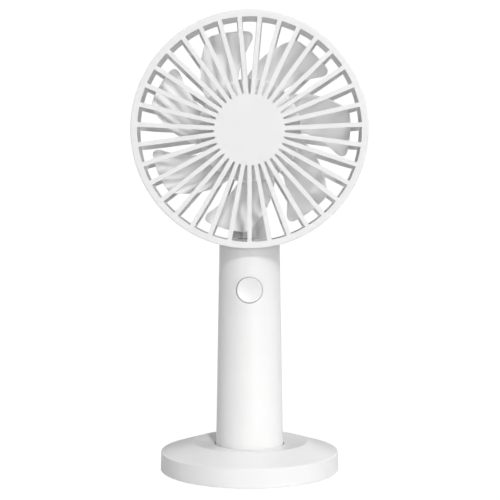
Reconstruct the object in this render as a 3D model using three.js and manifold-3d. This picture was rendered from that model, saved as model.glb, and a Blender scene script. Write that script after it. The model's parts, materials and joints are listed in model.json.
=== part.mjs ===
// Handheld electric fan standing in its round table base.
// Millimetres, +Z up. The origin is the centre of the base's underside, and the fan blows towards -Y.

import * as THREE from 'three';
import { mergeVertices } from 'three/addons/utils/BufferGeometryUtils.js';
import Module from 'manifold-3d';

const wasm = await Module();
wasm.setup();

// ---------------------------------------------------------------- driving dimensions

const GAP = 0.3;                    // clearance between neighbouring pieces
const WIRE_RADIUS = 0.5;

// Head: depths are measured back from the grille's front face.
const HEAD_HEIGHT = 152;            // fan axis above the table
const HEAD_RADIUS = 51.5;
const HEAD_DEPTH = 35;
const FACE_Y = -18.1;
const FACETS = 35;                  // round the head, one behind each bar

// Front grille
const SPOKE_COUNT = 35;
const SPOKE_WIDTH = 1.9;
const SPOKE_DEPTH = 1.8;
const FACE_DISC_RADIUS = 15.4;
const FACE_OPENING_RADIUS = 48.6;
const FACE_RIM_DEPTH = 2.7;
const FACE_EDGE_BEVEL = 0.4;
const SKIRT_RADIUS = 50;            // outside of the skirt that slides into the rear housing
const SKIRT_DEPTH = 19.2;

// Rear housing
const REAR_WALL = 2;
const REAR_CORNER_RADIUS = 13;
const REAR_CORNER_FACETS = 3;
const REAR_BAR_WIDTH = 2.65;
const REAR_SEAT_RADIUS = 22.2;      // closed disc behind the motor
const REAR_RING_DEPTH = 20;         // depth where the ring ends and the cage begins
const CAGE_RIM_WIDTH = 1.5;
const CLOSED_SECTOR_WIDTH = 22;     // just wider than the three lowest bars
const REAR_FILLER = 6;              // depth of solid plastic under the neck floor
const PLINTH_RADIUS = 21.2;         // ring that stands on the seat round the motor board
const PLINTH_WALL = 1.6;
const PLINTH_FRONT = 25.3;
const CHANNEL_WIDTH = 6.3;
const CHANNEL_WALL = 0.9;
const CHANNEL_FRONT = 25.1;
const NECK_FLOOR_HEIGHT = 103.7;    // flat floor inside the housing, over the handle
const NECK_RADIUS = 11.2;
const NECK_BOTTOM = 92.3;
const WIRE_HOLE_Y = 8.4;
const WIRE_HOLE_RADIUS = 1.9;
const WIRE_NOTCH_WIDTH = 5.2;       // gap in the plinth where the wires come in
const WIRE_NOTCH_HEIGHT = 3;

// Impeller: it turns clockwise seen from the front, so each blade's clockwise edge lies deeper.
const BLADE_COUNT = 7;
const HUB_RADIUS = 22.7;
const HUB_FRONT = 8.2;
const HUB_BACK = 24;
const HUB_WALL = 1.5;
const HUB_FRONT_WALL = 1.8;
const HUB_BOSS_RADIUS = 2.8;
const HUB_BOSS_BACK = 13.5;
const BLADE_ROOT_RADIUS = 21.9;
const BLADE_TIP_RADIUS = 44.6;
const BLADE_FRONT = 10.4;
const BLADE_BACK = 22.4;
const BLADE_THICKNESS = 1.2;
const BLADE_EAR_RADIUS = 4.2;       // rounding of the leading tip corner
const BLADE_EAR_ANGLE = 2.4;        // clockwise from straight up, in degrees
const LEADING_ROOT_ANGLE = -15.2;   // edge angles behind the ear, at the root and at the tip
const LEADING_TIP_ANGLE = 4.4;
const TRAILING_ROOT_ANGLE = -58.7;
const TRAILING_TIP_ANGLE = -26.8;

// Motor: depths are measured like the head's.
const SHAFT_RADIUS = 1;
const SHAFT_FRONT = 9.7;
const SHAFT_BACK = 31.8;
const CLIP_GROOVE_FRONT = 30.3;
const CLIP_GROOVE_WIDTH = 1;
const CLIP_GROOVE_DEPTH = 0.35;
const CLIP_RADIUS = 2.3;
const CLIP_THICKNESS = 0.4;
const CLIP_MOUTH = 1.4;
const YOKE_RADIUS = 20.9;
const YOKE_WALL = 1.4;
const YOKE_PLATE = 0.8;
const YOKE_BACK = 23;
const MAGNET_RADIUS = 19.2;
const MAGNET_FRONT = 11.5;
const MAGNET_BACK = 22.5;
const MAGNET_INNER_RADIUS = 17.6;
const STATOR_RADIUS = 16.9;
const STATOR_FRONT = 13.5;
const STATOR_THICKNESS = 6.5;
const TOOTH_COUNT = 6;
const TOOTH_WIDTH = 3.2;
const POLE_HALF_ANGLE = 24;         // each tooth ends in a pole shoe this wide, in degrees
const POLE_TIP_THICKNESS = 1.9;
const COIL_START_RADIUS = 8.9;
const COIL_LENGTH = 5.1;
const COIL_THICKNESS = 1.6;
const BEARING_TUBE_RADIUS = 4.6;
const BEARING_TUBE_FRONT = 14;
const BEARING_FLANGE_WIDTH = 4.4;
const BEARING_FLANGE_THICKNESS = 1.5;
const BEARING_RADIUS = 2.9;
const BEARING_LENGTH = 3;
const MOTOR_BOARD_FRONT = 24.6;
const BOARD_THICKNESS = 1.2;

// Handle: a straight taper from its foot up to the head.
const HANDLE_FOOT = 5.3;
const HANDLE_FOOT_RADIUS = 15.2;
const HANDLE_TAPER = 0.0175;        // radius lost for each millimetre of height
const HANDLE_WALL = 1.8;
const HANDLE_FACETS = 32;
const BULKHEAD_BOTTOM = 90;
const BULKHEAD_TOP = 92;
const NECK_SCREW_X = 7.5;
const NECK_SCREW_Y = 4;
const NECK_SCREW_HEAD_RADIUS = 1.9;
const NECK_SCREW_HEAD_HEIGHT = 1.5;
const NECK_SCREW_TOP = 101.5;
const CAP_THICKNESS = 1.9;
const CAP_BOSS_RADIUS = 1.9;
const CAP_BOSS_TOP = 13;
const CAP_SCREW_X = 11.4;
const CAP_SCREW_HEAD_RADIUS = 1.4;
const CAP_SCREW_SHANK_RADIUS = 0.7;
const CAP_SCREW_HOLE_RADIUS = 1;
const CAP_SCREW_TOP = 11;
const CAP_WELL_RADIUS = 1.7;
const CAP_WELL_DEPTH = 1.1;

// Screws of the neck and the base
const SCREW_SHANK_RADIUS = 0.85;
const SCREW_HOLE_RADIUS = 1.15;

// Controls, at one height on the handle: the button in front, the charging socket behind
const CONTROL_HEIGHT = 82.1;
const BUTTON_RADIUS = 5.6;
const BUTTON_GROOVE = 0.33;
const BUTTON_FACE_Y = -13.75;
const BUTTON_DISH_DEPTH = 0.5;
const BUTTON_FLANGE_Y = -9.6;
const BUTTON_STEM_END_Y = -6.3;
const MAIN_BOARD_WIDTH = 19;
const MAIN_BOARD_BOTTOM = 75.6;
const MAIN_BOARD_TOP = 89.4;
const SWITCH_WIDTH = 6;
const PLUNGER_RADIUS = 1.6;
const PLUNGER_LENGTH = 1.1;
const PLUNGER_TRAVEL = 0.6;
const USB_WIDTH = 8.9;
const USB_HEIGHT = 3.2;
const USB_MOUTH_Y = 13.1;
const USB_WALL = 0.45;
const USB_POCKET_DEPTH = 6.5;
const USB_TONGUE_WIDTH = 6.7;
const USB_TONGUE_THICKNESS = 0.7;
const LED_X = 7;
const LED_RADIUS = 1;

// Battery: a single 18650 cell
const CELL_RADIUS = 9.2;
const CELL_BOTTOM = 8.3;
const CELL_LENGTH = 65;
const CRADLE_RADIUS = 10.7;
const CRADLE_WALL = 1.2;
const CRADLE_OPENING = 60;          // half angle of the open front, in degrees
const TAB_THICKNESS = 0.4;

// Base
const BASE_RADIUS = 40;
const BASE_RIM_RADIUS = 39.8;
const BASE_RIM_HEIGHT = 8.7;
const BASE_SKIRT_BOTTOM = 0.5;
const BASE_WALL = 1.9;
const BASE_SIDE_WALL = 2.1;
const BASE_EDGE_BEVEL = 0.4;
const CREST_RADIUS = 25.9;          // top edge of the sloping cover, round the shallow dish
const CREST_HEIGHT = 13;
const DISH_HEIGHT = 11.9;
const SOCKET_RADIUS = 15.55;
const SOCKET_FLOOR = 5;
const SOCKET_WALL = 1.65;
const SOCKET_FLOOR_THICKNESS = 1.6;
const BASE_PLATE_BOTTOM = 0.9;
const BASE_PLATE_TOP = 2.9;
const BASE_SCREW_COUNT = 3;
const BASE_SCREW_CIRCLE = 26;
const BASE_SCREW_HEAD_RADIUS = 2.4;
const BASE_SCREW_TOP = 8.2;
const BASE_BOSS_RADIUS = 2.8;
const BASE_BOSS_TOP = 11.6;
const BASE_WELL_DEPTH = 1.2;
const WEIGHT_INNER_RADIUS = 18;
const WEIGHT_OUTER_RADIUS = 36.5;
const WEIGHT_THICKNESS = 3.5;
const FOOT_INNER_RADIUS = 31;
const FOOT_OUTER_RADIUS = 36;
const FOOT_GROOVE_DEPTH = 0.7;
const BASE_FACETS = 48;

// ---------------------------------------------------------------- finishes

const FINISHES = {
  white_plastic: { color: 0xf3f3f2, roughness: 0.42, metalness: 0 },
  blade_plastic: { color: 0xf6f6f6, roughness: 0.28, metalness: 0 },
  inner_plastic: { color: 0xd9d9d6, roughness: 0.5, metalness: 0 },
  steel: { color: 0xa9abae, roughness: 0.32, metalness: 1 },
  magnet: { color: 0x3b3b3f, roughness: 0.55, metalness: 0.6 },
  copper: { color: 0xb5652f, roughness: 0.35, metalness: 1 },
  brass: { color: 0xb99a52, roughness: 0.35, metalness: 1 },
  board: { color: 0x1d5b34, roughness: 0.45, metalness: 0 },
  black_plastic: { color: 0x1c1c1e, roughness: 0.5, metalness: 0 },
  cell_wrap: { color: 0x2c6f9e, roughness: 0.35, metalness: 0 },
  red_wire: { color: 0xb3231d, roughness: 0.45, metalness: 0 },
  black_wire: { color: 0x161616, roughness: 0.45, metalness: 0 },
  light_pipe: { color: 0xe9edf0, roughness: 0.15, metalness: 0 },
  rubber: { color: 0x55565a, roughness: 0.85, metalness: 0 },
};

// ---------------------------------------------------------------- making solids

// A closed three.js geometry as a solid that can be joined and cut.
function solidOf(geometry) {
  const bare = geometry.clone();
  bare.deleteAttribute('normal');
  bare.deleteAttribute('uv');
  const merged = mergeVertices(bare, 1e-4);
  const corners = merged.index.array;
  const triangles = [];
  for (let i = 0; i < corners.length; i += 3) {
    const [a, b, c] = [corners[i], corners[i + 1], corners[i + 2]];
    if (a !== b && b !== c && c !== a) triangles.push(a, b, c);
  }
  const mesh = new wasm.Mesh({
    numProp: 3,
    vertProperties: new Float32Array(merged.attributes.position.array),
    triVerts: new Uint32Array(triangles),
  });
  return new wasm.Manifold(mesh);
}

function geometryOf(solid) {
  const mesh = solid.getMesh();
  const geometry = new THREE.BufferGeometry();
  geometry.setAttribute('position', new THREE.BufferAttribute(new Float32Array(mesh.vertProperties), 3));
  geometry.setIndex(new THREE.BufferAttribute(new Uint32Array(mesh.triVerts), 1));
  geometry.computeVertexNormals();
  return geometry;
}

function joined(solids) {
  return solids.reduce((whole, next) => whole.add(next));
}

function without(solid, cutters) {
  return solid.subtract(joined(cutters));
}

// A profile of [radius, distance along +Y] turned round the Y axis.
function turnedAlongY(profile, facets, x = 0, y = 0, z = 0) {
  const points = profile.map(([radius, along]) => new THREE.Vector2(radius, along));
  return solidOf(new THREE.LatheGeometry(points, facets).translate(x, y, z));
}

// A profile of [radius, height] turned round the Z axis.
function turnedUpright(profile, facets, x = 0, y = 0) {
  const points = profile.map(([radius, height]) => new THREE.Vector2(radius, height));
  return solidOf(new THREE.LatheGeometry(points, facets).rotateX(Math.PI / 2).translate(x, y, 0));
}

function rodProfile(radius, start, end) {
  return [[0, start], [radius, start], [radius, end], [0, end]];
}

// An upright rod.
function post(radius, bottom, top, facets, x = 0, y = 0) {
  return turnedUpright(rodProfile(radius, bottom, top), facets, x, y);
}

function ringProfile(inner, outer, start, end) {
  return [[inner, start], [outer, start], [outer, end], [inner, end], [inner, start]];
}

// A box between two opposite corners.
function block(low, high) {
  const size = high.map((value, axis) => value - low[axis]);
  const middle = high.map((value, axis) => (value + low[axis]) / 2);
  return solidOf(new THREE.BoxGeometry(...size).translate(...middle));
}

// Points of a quarter circle, from the direction startAngle to startAngle + 90 degrees.
function quarterArc(centre, radius, startAngle, steps) {
  const points = [];
  for (let step = 0; step <= steps; step += 1) {
    const angle = THREE.MathUtils.degToRad(startAngle + (90 * step) / steps);
    points.push([centre[0] + radius * Math.cos(angle), centre[1] + radius * Math.sin(angle)]);
  }
  return points;
}

function polygonShape(points) {
  return new THREE.Shape(points.map(([x, y]) => new THREE.Vector2(x, y)));
}

function circlePoints(radius, count) {
  return Array.from({ length: count }, (unused, index) => {
    const angle = (2 * Math.PI * index) / count;
    return [radius * Math.cos(angle), radius * Math.sin(angle)];
  });
}

function addHole(shape, points) {
  shape.holes.push(new THREE.Path(points.map(([x, y]) => new THREE.Vector2(x, y))));
}

function extruded(shape, depth) {
  return new THREE.ExtrudeGeometry(shape, { depth, bevelEnabled: false });
}

function wire(points, steps) {
  const section = polygonShape(circlePoints(WIRE_RADIUS, 8));
  const path = new THREE.CatmullRomCurve3(points.map((point) => new THREE.Vector3(...point)));
  return solidOf(new THREE.ExtrudeGeometry(section, { steps, extrudePath: path }));
}

function piece(name, solid, finish) {
  const mesh = new THREE.Mesh(geometryOf(solid), new THREE.MeshStandardMaterial(FINISHES[finish]));
  mesh.name = name;
  return mesh;
}

function groupOf(pieces) {
  const group = new THREE.Group();
  group.add(...pieces);
  return group;
}

// ---------------------------------------------------------------- head shell
// Head pieces are modelled on the fan axis, with y as the depth behind the front face.

function spoke(index) {
  const inner = FACE_DISC_RADIUS - 1;
  const outer = FACE_OPENING_RADIUS + 1;
  const bar = new THREE.BoxGeometry(SPOKE_WIDTH, SPOKE_DEPTH, outer - inner);
  bar.translate(0, SPOKE_DEPTH / 2, -(inner + outer) / 2);
  return solidOf(bar.rotateY((2 * Math.PI * index) / SPOKE_COUNT));
}

function frontGrille() {
  const rim = [
    [FACE_OPENING_RADIUS, 0],
    [HEAD_RADIUS - FACE_EDGE_BEVEL, 0],
    [HEAD_RADIUS, FACE_EDGE_BEVEL],
    [HEAD_RADIUS, FACE_RIM_DEPTH],
    [FACE_OPENING_RADIUS, FACE_RIM_DEPTH],
    [FACE_OPENING_RADIUS, 0],
  ];
  const disc = rodProfile(FACE_DISC_RADIUS, 0, SPOKE_DEPTH);
  const parts = [turnedAlongY(rim, FACETS), turnedAlongY(disc, FACETS)];
  for (let index = 0; index < SPOKE_COUNT; index += 1) parts.push(spoke(index));
  return joined(parts);
}

// The ring behind the grille's rim, which slides into the rear housing and ducts the air.
function grilleSkirt() {
  return turnedAlongY(
    ringProfile(FACE_OPENING_RADIUS, SKIRT_RADIUS, FACE_RIM_DEPTH + GAP, SKIRT_DEPTH), FACETS,
  );
}

// Outline of the head from the seam behind the grille to the middle of its back, grown by an offset.
function headOutline(offset, seam) {
  const corner = [HEAD_RADIUS - REAR_CORNER_RADIUS, HEAD_DEPTH - REAR_CORNER_RADIUS];
  const arc = quarterArc(corner, REAR_CORNER_RADIUS + offset, 0, REAR_CORNER_FACETS);
  return [[0, seam], [HEAD_RADIUS + offset, seam], ...arc, [0, HEAD_DEPTH + offset]];
}

// The space inside the rear housing and cage, stepped where the grille's skirt slides in.
function headHollow(offset = 0) {
  const rearSpace = turnedAlongY(headOutline(-REAR_WALL - offset, -1), FACETS);
  const skirtSpace = turnedAlongY(rodProfile(SKIRT_RADIUS + GAP - offset, -1, SKIRT_DEPTH + GAP), FACETS);
  return rearSpace.add(skirtSpace);
}

// The opening between two neighbouring bars of the rear cage.
function rearSlot(index) {
  const halfPitch = Math.PI / SPOKE_COUNT;
  const outer = HEAD_RADIUS + 2;
  const halfWidth = (radius) => radius * Math.tan(halfPitch) - REAR_BAR_WIDTH / 2 / Math.cos(halfPitch);
  const outline = polygonShape([
    [-halfWidth(REAR_SEAT_RADIUS), REAR_SEAT_RADIUS],
    [halfWidth(REAR_SEAT_RADIUS), REAR_SEAT_RADIUS],
    [halfWidth(outer), outer],
    [-halfWidth(outer), outer],
  ]);
  const start = REAR_RING_DEPTH + GAP + CAGE_RIM_WIDTH;
  const prism = extruded(outline, HEAD_DEPTH + 2 - start).rotateX(-Math.PI / 2);
  prism.translate(0, start, 0);
  const turn = halfPitch * (2 * index + 1);
  return solidOf(prism.rotateY(turn));
}

// The two gaps beside the lowest bar stay closed, to carry the wires and the neck.
function rearSlots() {
  const slots = [];
  for (let index = 1; index < SPOKE_COUNT - 1; index += 1) slots.push(rearSlot(index));
  return joined(slots);
}

// Heights above the table become distances from the fan axis.
function fromAxis(height) {
  return height - HEAD_HEIGHT;
}

function neckScrewHoles(radius, top) {
  const bottom = fromAxis(NECK_BOTTOM) - 1;
  return [-1, 1].map((side) => (
    post(radius, bottom, fromAxis(top), 12, side * NECK_SCREW_X, NECK_SCREW_Y - FACE_Y)
  ));
}

// Solid filling at the bottom of the head, with the flat neck floor on top.
function neckFiller(gap) {
  return block(
    [-HEAD_RADIUS / 2, SKIRT_DEPTH + 2 * GAP, fromAxis(NECK_FLOOR_HEIGHT) - REAR_FILLER],
    [HEAD_RADIUS / 2, HEAD_DEPTH + gap, fromAxis(NECK_FLOOR_HEIGHT) + gap],
  );
}

function wireHole() {
  const bottom = fromAxis(NECK_BOTTOM) - 1;
  return post(WIRE_HOLE_RADIUS, bottom, fromAxis(NECK_FLOOR_HEIGHT) + 1, 16, 0, WIRE_HOLE_Y - FACE_Y);
}

// The ring round the impeller, with the neck that the handle is screwed to.
function rearHousing() {
  const outside = turnedAlongY(headOutline(0, FACE_RIM_DEPTH + GAP), FACETS);
  const ringZone = turnedAlongY(rodProfile(HEAD_RADIUS + 1, 0, REAR_RING_DEPTH), FACETS);
  const ring = outside.intersect(ringZone).subtract(headHollow());
  const neck = post(
    NECK_RADIUS, fromAxis(NECK_BOTTOM), fromAxis(NECK_FLOOR_HEIGHT), HANDLE_FACETS, 0, -FACE_Y,
  ).subtract(headHollow());
  const holes = [wireHole(), ...neckScrewHoles(SCREW_HOLE_RADIUS, NECK_FLOOR_HEIGHT - 0.6)];
  return without(joined([ring, neckFiller(0).intersect(outside), neck]), holes);
}

// A rim, bars that wrap over the rounded corner, and a closed seat behind the motor.
function cageShell() {
  const outside = turnedAlongY(headOutline(0, REAR_RING_DEPTH + GAP), FACETS);
  return without(outside, [headHollow(), rearSlots(), neckFiller(GAP), wireHole()]);
}

// The cage's flat back is a piece of its own, parted from the rounded shoulder where the curve begins.
// The closed sector at the bottom stays in one piece with the flat back.
function flatBackZone(gap) {
  const radius = HEAD_RADIUS - REAR_CORNER_RADIUS + gap;
  const halfWidth = CLOSED_SECTOR_WIDTH / 2 + gap;
  const round = turnedAlongY(rodProfile(radius, REAR_RING_DEPTH, HEAD_DEPTH + 1), FACETS);
  return round.add(block([-halfWidth, REAR_RING_DEPTH, -HEAD_RADIUS - 1], [halfWidth, HEAD_DEPTH + 1, 0]));
}

function rearShoulder() {
  return cageShell().subtract(flatBackZone(GAP));
}

function rearCage() {
  const back = HEAD_DEPTH - REAR_WALL;
  const inner = PLINTH_RADIUS - PLINTH_WALL;
  const plinth = turnedAlongY(ringProfile(inner, PLINTH_RADIUS, PLINTH_FRONT, back + 0.5), FACETS);
  const wireNotch = block(
    [-WIRE_NOTCH_WIDTH / 2, PLINTH_FRONT - 1, -PLINTH_RADIUS - 1],
    [WIRE_NOTCH_WIDTH / 2, back, -PLINTH_RADIUS + WIRE_NOTCH_HEIGHT],
  );
  return cageShell().intersect(flatBackZone(0)).add(plinth.subtract(wireNotch));
}

function wireChannelCover() {
  const half = CHANNEL_WIDTH / 2;
  const bottom = fromAxis(NECK_FLOOR_HEIGHT) + GAP;
  const top = -PLINTH_RADIUS - GAP;
  const outside = block([-half, CHANNEL_FRONT, bottom], [half, HEAD_DEPTH, top]).intersect(headHollow(GAP));
  const inside = block(
    [-half + CHANNEL_WALL, CHANNEL_FRONT + CHANNEL_WALL, bottom - 1],
    [half - CHANNEL_WALL, HEAD_DEPTH, top + 1],
  );
  return outside.subtract(inside);
}

// ---------------------------------------------------------------- impeller and motor

// Maps chord (0 trailing, 1 leading), span (0 root, 1 tip) and side (-0.5 to 0.5) to a point of a blade.
function bladePoint(chord, span, side) {
  const tipChord = THREE.MathUtils.degToRad(LEADING_TIP_ANGLE - TRAILING_TIP_ANGLE) * BLADE_TIP_RADIUS;
  const earStart = 1 - BLADE_EAR_RADIUS / tipChord;
  const past = Math.max(0, (chord - earStart) / (1 - earStart));
  const tip = BLADE_TIP_RADIUS - BLADE_EAR_RADIUS * (1 - Math.sqrt(1 - past * past));
  const radius = THREE.MathUtils.lerp(BLADE_ROOT_RADIUS, tip, span);
  const reach = (radius - BLADE_ROOT_RADIUS) / (BLADE_TIP_RADIUS - BLADE_ROOT_RADIUS);
  const leading = THREE.MathUtils.lerp(LEADING_ROOT_ANGLE, LEADING_TIP_ANGLE, reach);
  const trailing = THREE.MathUtils.lerp(TRAILING_ROOT_ANGLE, TRAILING_TIP_ANGLE, reach);
  const angle = THREE.MathUtils.degToRad(THREE.MathUtils.lerp(trailing, leading, chord) + BLADE_EAR_ANGLE);
  const camber = 1 - (1 - chord) ** 1.4;
  const depth = THREE.MathUtils.lerp(BLADE_FRONT, BLADE_BACK, camber) + side * BLADE_THICKNESS;
  return new THREE.Vector3(radius * Math.sin(angle), depth, radius * Math.cos(angle));
}

function blade(index) {
  const slab = new THREE.BoxGeometry(1, 1, 1, 7, 1, 3);
  const positions = slab.attributes.position;
  for (let i = 0; i < positions.count; i += 1) {
    const chord = Math.sin(((positions.getX(i) + 0.5) * Math.PI) / 2);
    const point = bladePoint(chord, positions.getZ(i) + 0.5, positions.getY(i));
    positions.setXYZ(i, point.x, point.y, point.z);
  }
  return solidOf(slab.rotateY((2 * Math.PI * index) / BLADE_COUNT));
}

function impeller() {
  const inner = HUB_RADIUS - HUB_WALL;
  const floor = HUB_FRONT + HUB_FRONT_WALL;
  const hub = turnedAlongY([
    [0, HUB_FRONT],
    [HUB_RADIUS - 1.6, HUB_FRONT],
    [HUB_RADIUS - 0.5, HUB_FRONT + 0.5],
    [HUB_RADIUS, HUB_FRONT + 1.6],
    [HUB_RADIUS, HUB_BACK],
    [inner, HUB_BACK],
    [inner, floor],
    [HUB_BOSS_RADIUS, floor],
    [HUB_BOSS_RADIUS, HUB_BOSS_BACK],
    [SHAFT_RADIUS + GAP, HUB_BOSS_BACK],
    [SHAFT_RADIUS + GAP, SHAFT_FRONT - GAP],
    [0, SHAFT_FRONT - GAP],
  ], 4 * BLADE_COUNT);
  const parts = [hub];
  for (let index = 0; index < BLADE_COUNT; index += 1) parts.push(blade(index));
  return joined(parts);
}

function rotorYoke() {
  const front = HUB_FRONT + HUB_FRONT_WALL + GAP;
  const inner = YOKE_RADIUS - YOKE_WALL;
  const hole = HUB_BOSS_RADIUS + GAP;
  return turnedAlongY([
    [hole, front],
    [YOKE_RADIUS, front],
    [YOKE_RADIUS, YOKE_BACK],
    [inner, YOKE_BACK],
    [inner, front + YOKE_PLATE],
    [hole, front + YOKE_PLATE],
    [hole, front],
  ], 24);
}

function magnetRing() {
  return turnedAlongY(ringProfile(MAGNET_INNER_RADIUS, MAGNET_RADIUS, MAGNET_FRONT, MAGNET_BACK), 24);
}

function motorShaft() {
  const neck = SHAFT_RADIUS - CLIP_GROOVE_DEPTH;
  const grooveEnd = CLIP_GROOVE_FRONT + CLIP_GROOVE_WIDTH;
  return turnedAlongY([
    [0, SHAFT_FRONT],
    [SHAFT_RADIUS, SHAFT_FRONT],
    [SHAFT_RADIUS, CLIP_GROOVE_FRONT],
    [neck, CLIP_GROOVE_FRONT],
    [neck, grooveEnd],
    [SHAFT_RADIUS, grooveEnd],
    [SHAFT_RADIUS, SHAFT_BACK],
    [0, SHAFT_BACK],
  ], 12);
}

function shaftClip() {
  const start = CLIP_GROOVE_FRONT + GAP;
  const inner = SHAFT_RADIUS - CLIP_GROOVE_DEPTH + GAP;
  const ring = turnedAlongY(ringProfile(inner, CLIP_RADIUS, start, start + CLIP_THICKNESS), 16);
  const mouth = block([-CLIP_MOUTH / 2, start - 1, 0], [CLIP_MOUTH / 2, start + 1, CLIP_RADIUS + 1]);
  return ring.subtract(mouth);
}

function bearingTube() {
  const back = HEAD_DEPTH - REAR_WALL - GAP;
  const bore = BEARING_RADIUS + GAP;
  return turnedAlongY([
    [bore, BEARING_TUBE_FRONT],
    [BEARING_TUBE_RADIUS, BEARING_TUBE_FRONT],
    [BEARING_TUBE_RADIUS, back - BEARING_FLANGE_THICKNESS],
    [BEARING_TUBE_RADIUS + BEARING_FLANGE_WIDTH, back - BEARING_FLANGE_THICKNESS],
    [BEARING_TUBE_RADIUS + BEARING_FLANGE_WIDTH, back],
    [bore, back],
    [bore, BEARING_TUBE_FRONT],
  ], 20);
}

function bearing(start) {
  return turnedAlongY(ringProfile(SHAFT_RADIUS + GAP, BEARING_RADIUS, start, start + BEARING_LENGTH), 16);
}

function statorCore() {
  const polar = (radius, degrees) => {
    const angle = THREE.MathUtils.degToRad(degrees);
    return [radius * Math.sin(angle), radius * Math.cos(angle)];
  };
  const coreRadius = COIL_START_RADIUS - 0.7;
  const shoeRadius = COIL_START_RADIUS + COIL_LENGTH + 0.9;
  const tipRadius = STATOR_RADIUS - POLE_TIP_THICKNESS + 0.4;
  const halfTooth = (radius) => THREE.MathUtils.radToDeg(Math.asin(TOOTH_WIDTH / 2 / radius));
  const points = [];
  for (let tooth = 0; tooth < TOOTH_COUNT; tooth += 1) {
    const middle = (360 * tooth) / TOOTH_COUNT;
    points.push(
      polar(coreRadius, middle - halfTooth(coreRadius)),
      polar(shoeRadius, middle - halfTooth(shoeRadius)),
      polar(tipRadius, middle - POLE_HALF_ANGLE + 1),
      polar(STATOR_RADIUS, middle - POLE_HALF_ANGLE),
      polar(STATOR_RADIUS, middle - POLE_HALF_ANGLE / 3),
      polar(STATOR_RADIUS, middle + POLE_HALF_ANGLE / 3),
      polar(STATOR_RADIUS, middle + POLE_HALF_ANGLE),
      polar(tipRadius, middle + POLE_HALF_ANGLE - 1),
      polar(shoeRadius, middle + halfTooth(shoeRadius)),
      polar(coreRadius, middle + halfTooth(coreRadius)),
    );
  }
  const outline = polygonShape(points);
  addHole(outline, circlePoints(BEARING_TUBE_RADIUS + GAP, 18));
  const stack = extruded(outline, STATOR_THICKNESS).rotateX(Math.PI / 2);
  return solidOf(stack.translate(0, STATOR_FRONT + STATOR_THICKNESS, 0));
}

// A winding round one tooth, extruded outwards along the tooth.
function coil(index) {
  const innerWidth = TOOTH_WIDTH / 2 + GAP;
  const innerHeight = STATOR_THICKNESS / 2 + GAP;
  const outerWidth = innerWidth + COIL_THICKNESS;
  const outerHeight = innerHeight + COIL_THICKNESS;
  const bevel = 0.8;
  const outline = polygonShape([
    [-outerWidth + bevel, -outerHeight],
    [outerWidth - bevel, -outerHeight],
    [outerWidth, -outerHeight + bevel],
    [outerWidth, outerHeight - bevel],
    [outerWidth - bevel, outerHeight],
    [-outerWidth + bevel, outerHeight],
    [-outerWidth, outerHeight - bevel],
    [-outerWidth, -outerHeight + bevel],
  ]);
  addHole(outline, [
    [-innerWidth, -innerHeight],
    [-innerWidth, innerHeight],
    [innerWidth, innerHeight],
    [innerWidth, -innerHeight],
  ]);
  const winding = extruded(outline, COIL_LENGTH);
  winding.translate(0, STATOR_FRONT + STATOR_THICKNESS / 2, COIL_START_RADIUS);
  return solidOf(winding.rotateY((2 * Math.PI * index) / TOOTH_COUNT));
}

function motorBoard() {
  const inner = BEARING_TUBE_RADIUS + GAP;
  const back = MOTOR_BOARD_FRONT + BOARD_THICKNESS;
  return turnedAlongY(ringProfile(inner, MAGNET_INNER_RADIUS, MOTOR_BOARD_FRONT, back), 24);
}

// Two supply wires from the main board up through the neck and the channel to the motor board.
function motorLead(side) {
  const x = side * 0.75;
  return wire([
    [x, 1.4, 86],
    [x, 4.6, 87.2],
    [x, 7.9, 89.4],
    [x, 8.5, 93],
    [x, 8.5, 99],
    [x, 8.7, 104.5],
    [x, 10.2, 110],
    [x, 11, 118],
    [x, 11, 126],
    [x, 10.4, 131],
    [x, 8.9, 136],
  ], 18);
}

// ---------------------------------------------------------------- handle

function handleRadius(height) {
  return HANDLE_FOOT_RADIUS - HANDLE_TAPER * (height - HANDLE_FOOT);
}

function handleCone(offset, bottom, top) {
  const lower = handleRadius(bottom) + offset;
  const upper = handleRadius(top) + offset;
  return turnedUpright([[0, bottom], [lower, bottom], [upper, top], [0, top]], HANDLE_FACETS);
}

function rodAlongY(radius, startY, endY, x, z, facets) {
  return turnedAlongY(rodProfile(radius, startY, endY), facets, x, 0, z);
}

// A screw that points up: head below, shank above.
function screw(headRadius, headBottom, headTop, shankRadius, shankTop, x, y) {
  return turnedUpright([
    [0, headBottom],
    [headRadius, headBottom],
    [headRadius, headTop],
    [shankRadius, headTop],
    [shankRadius, shankTop],
    [0, shankTop + shankRadius],
  ], 12, x, y);
}

function usbOpening(extra, startY, endY) {
  const halfWidth = USB_WIDTH / 2 + extra;
  const halfHeight = USB_HEIGHT / 2 + extra;
  const slot = new THREE.Shape();
  slot.absarc(halfWidth - halfHeight, 0, halfHeight, -Math.PI / 2, Math.PI / 2, false);
  slot.absarc(-halfWidth + halfHeight, 0, halfHeight, Math.PI / 2, (3 * Math.PI) / 2, false);
  const settings = { depth: endY - startY, bevelEnabled: false, curveSegments: 6 };
  const prism = new THREE.ExtrudeGeometry(slot, settings);
  return solidOf(prism.rotateX(Math.PI / 2).translate(0, endY, CONTROL_HEIGHT));
}

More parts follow.
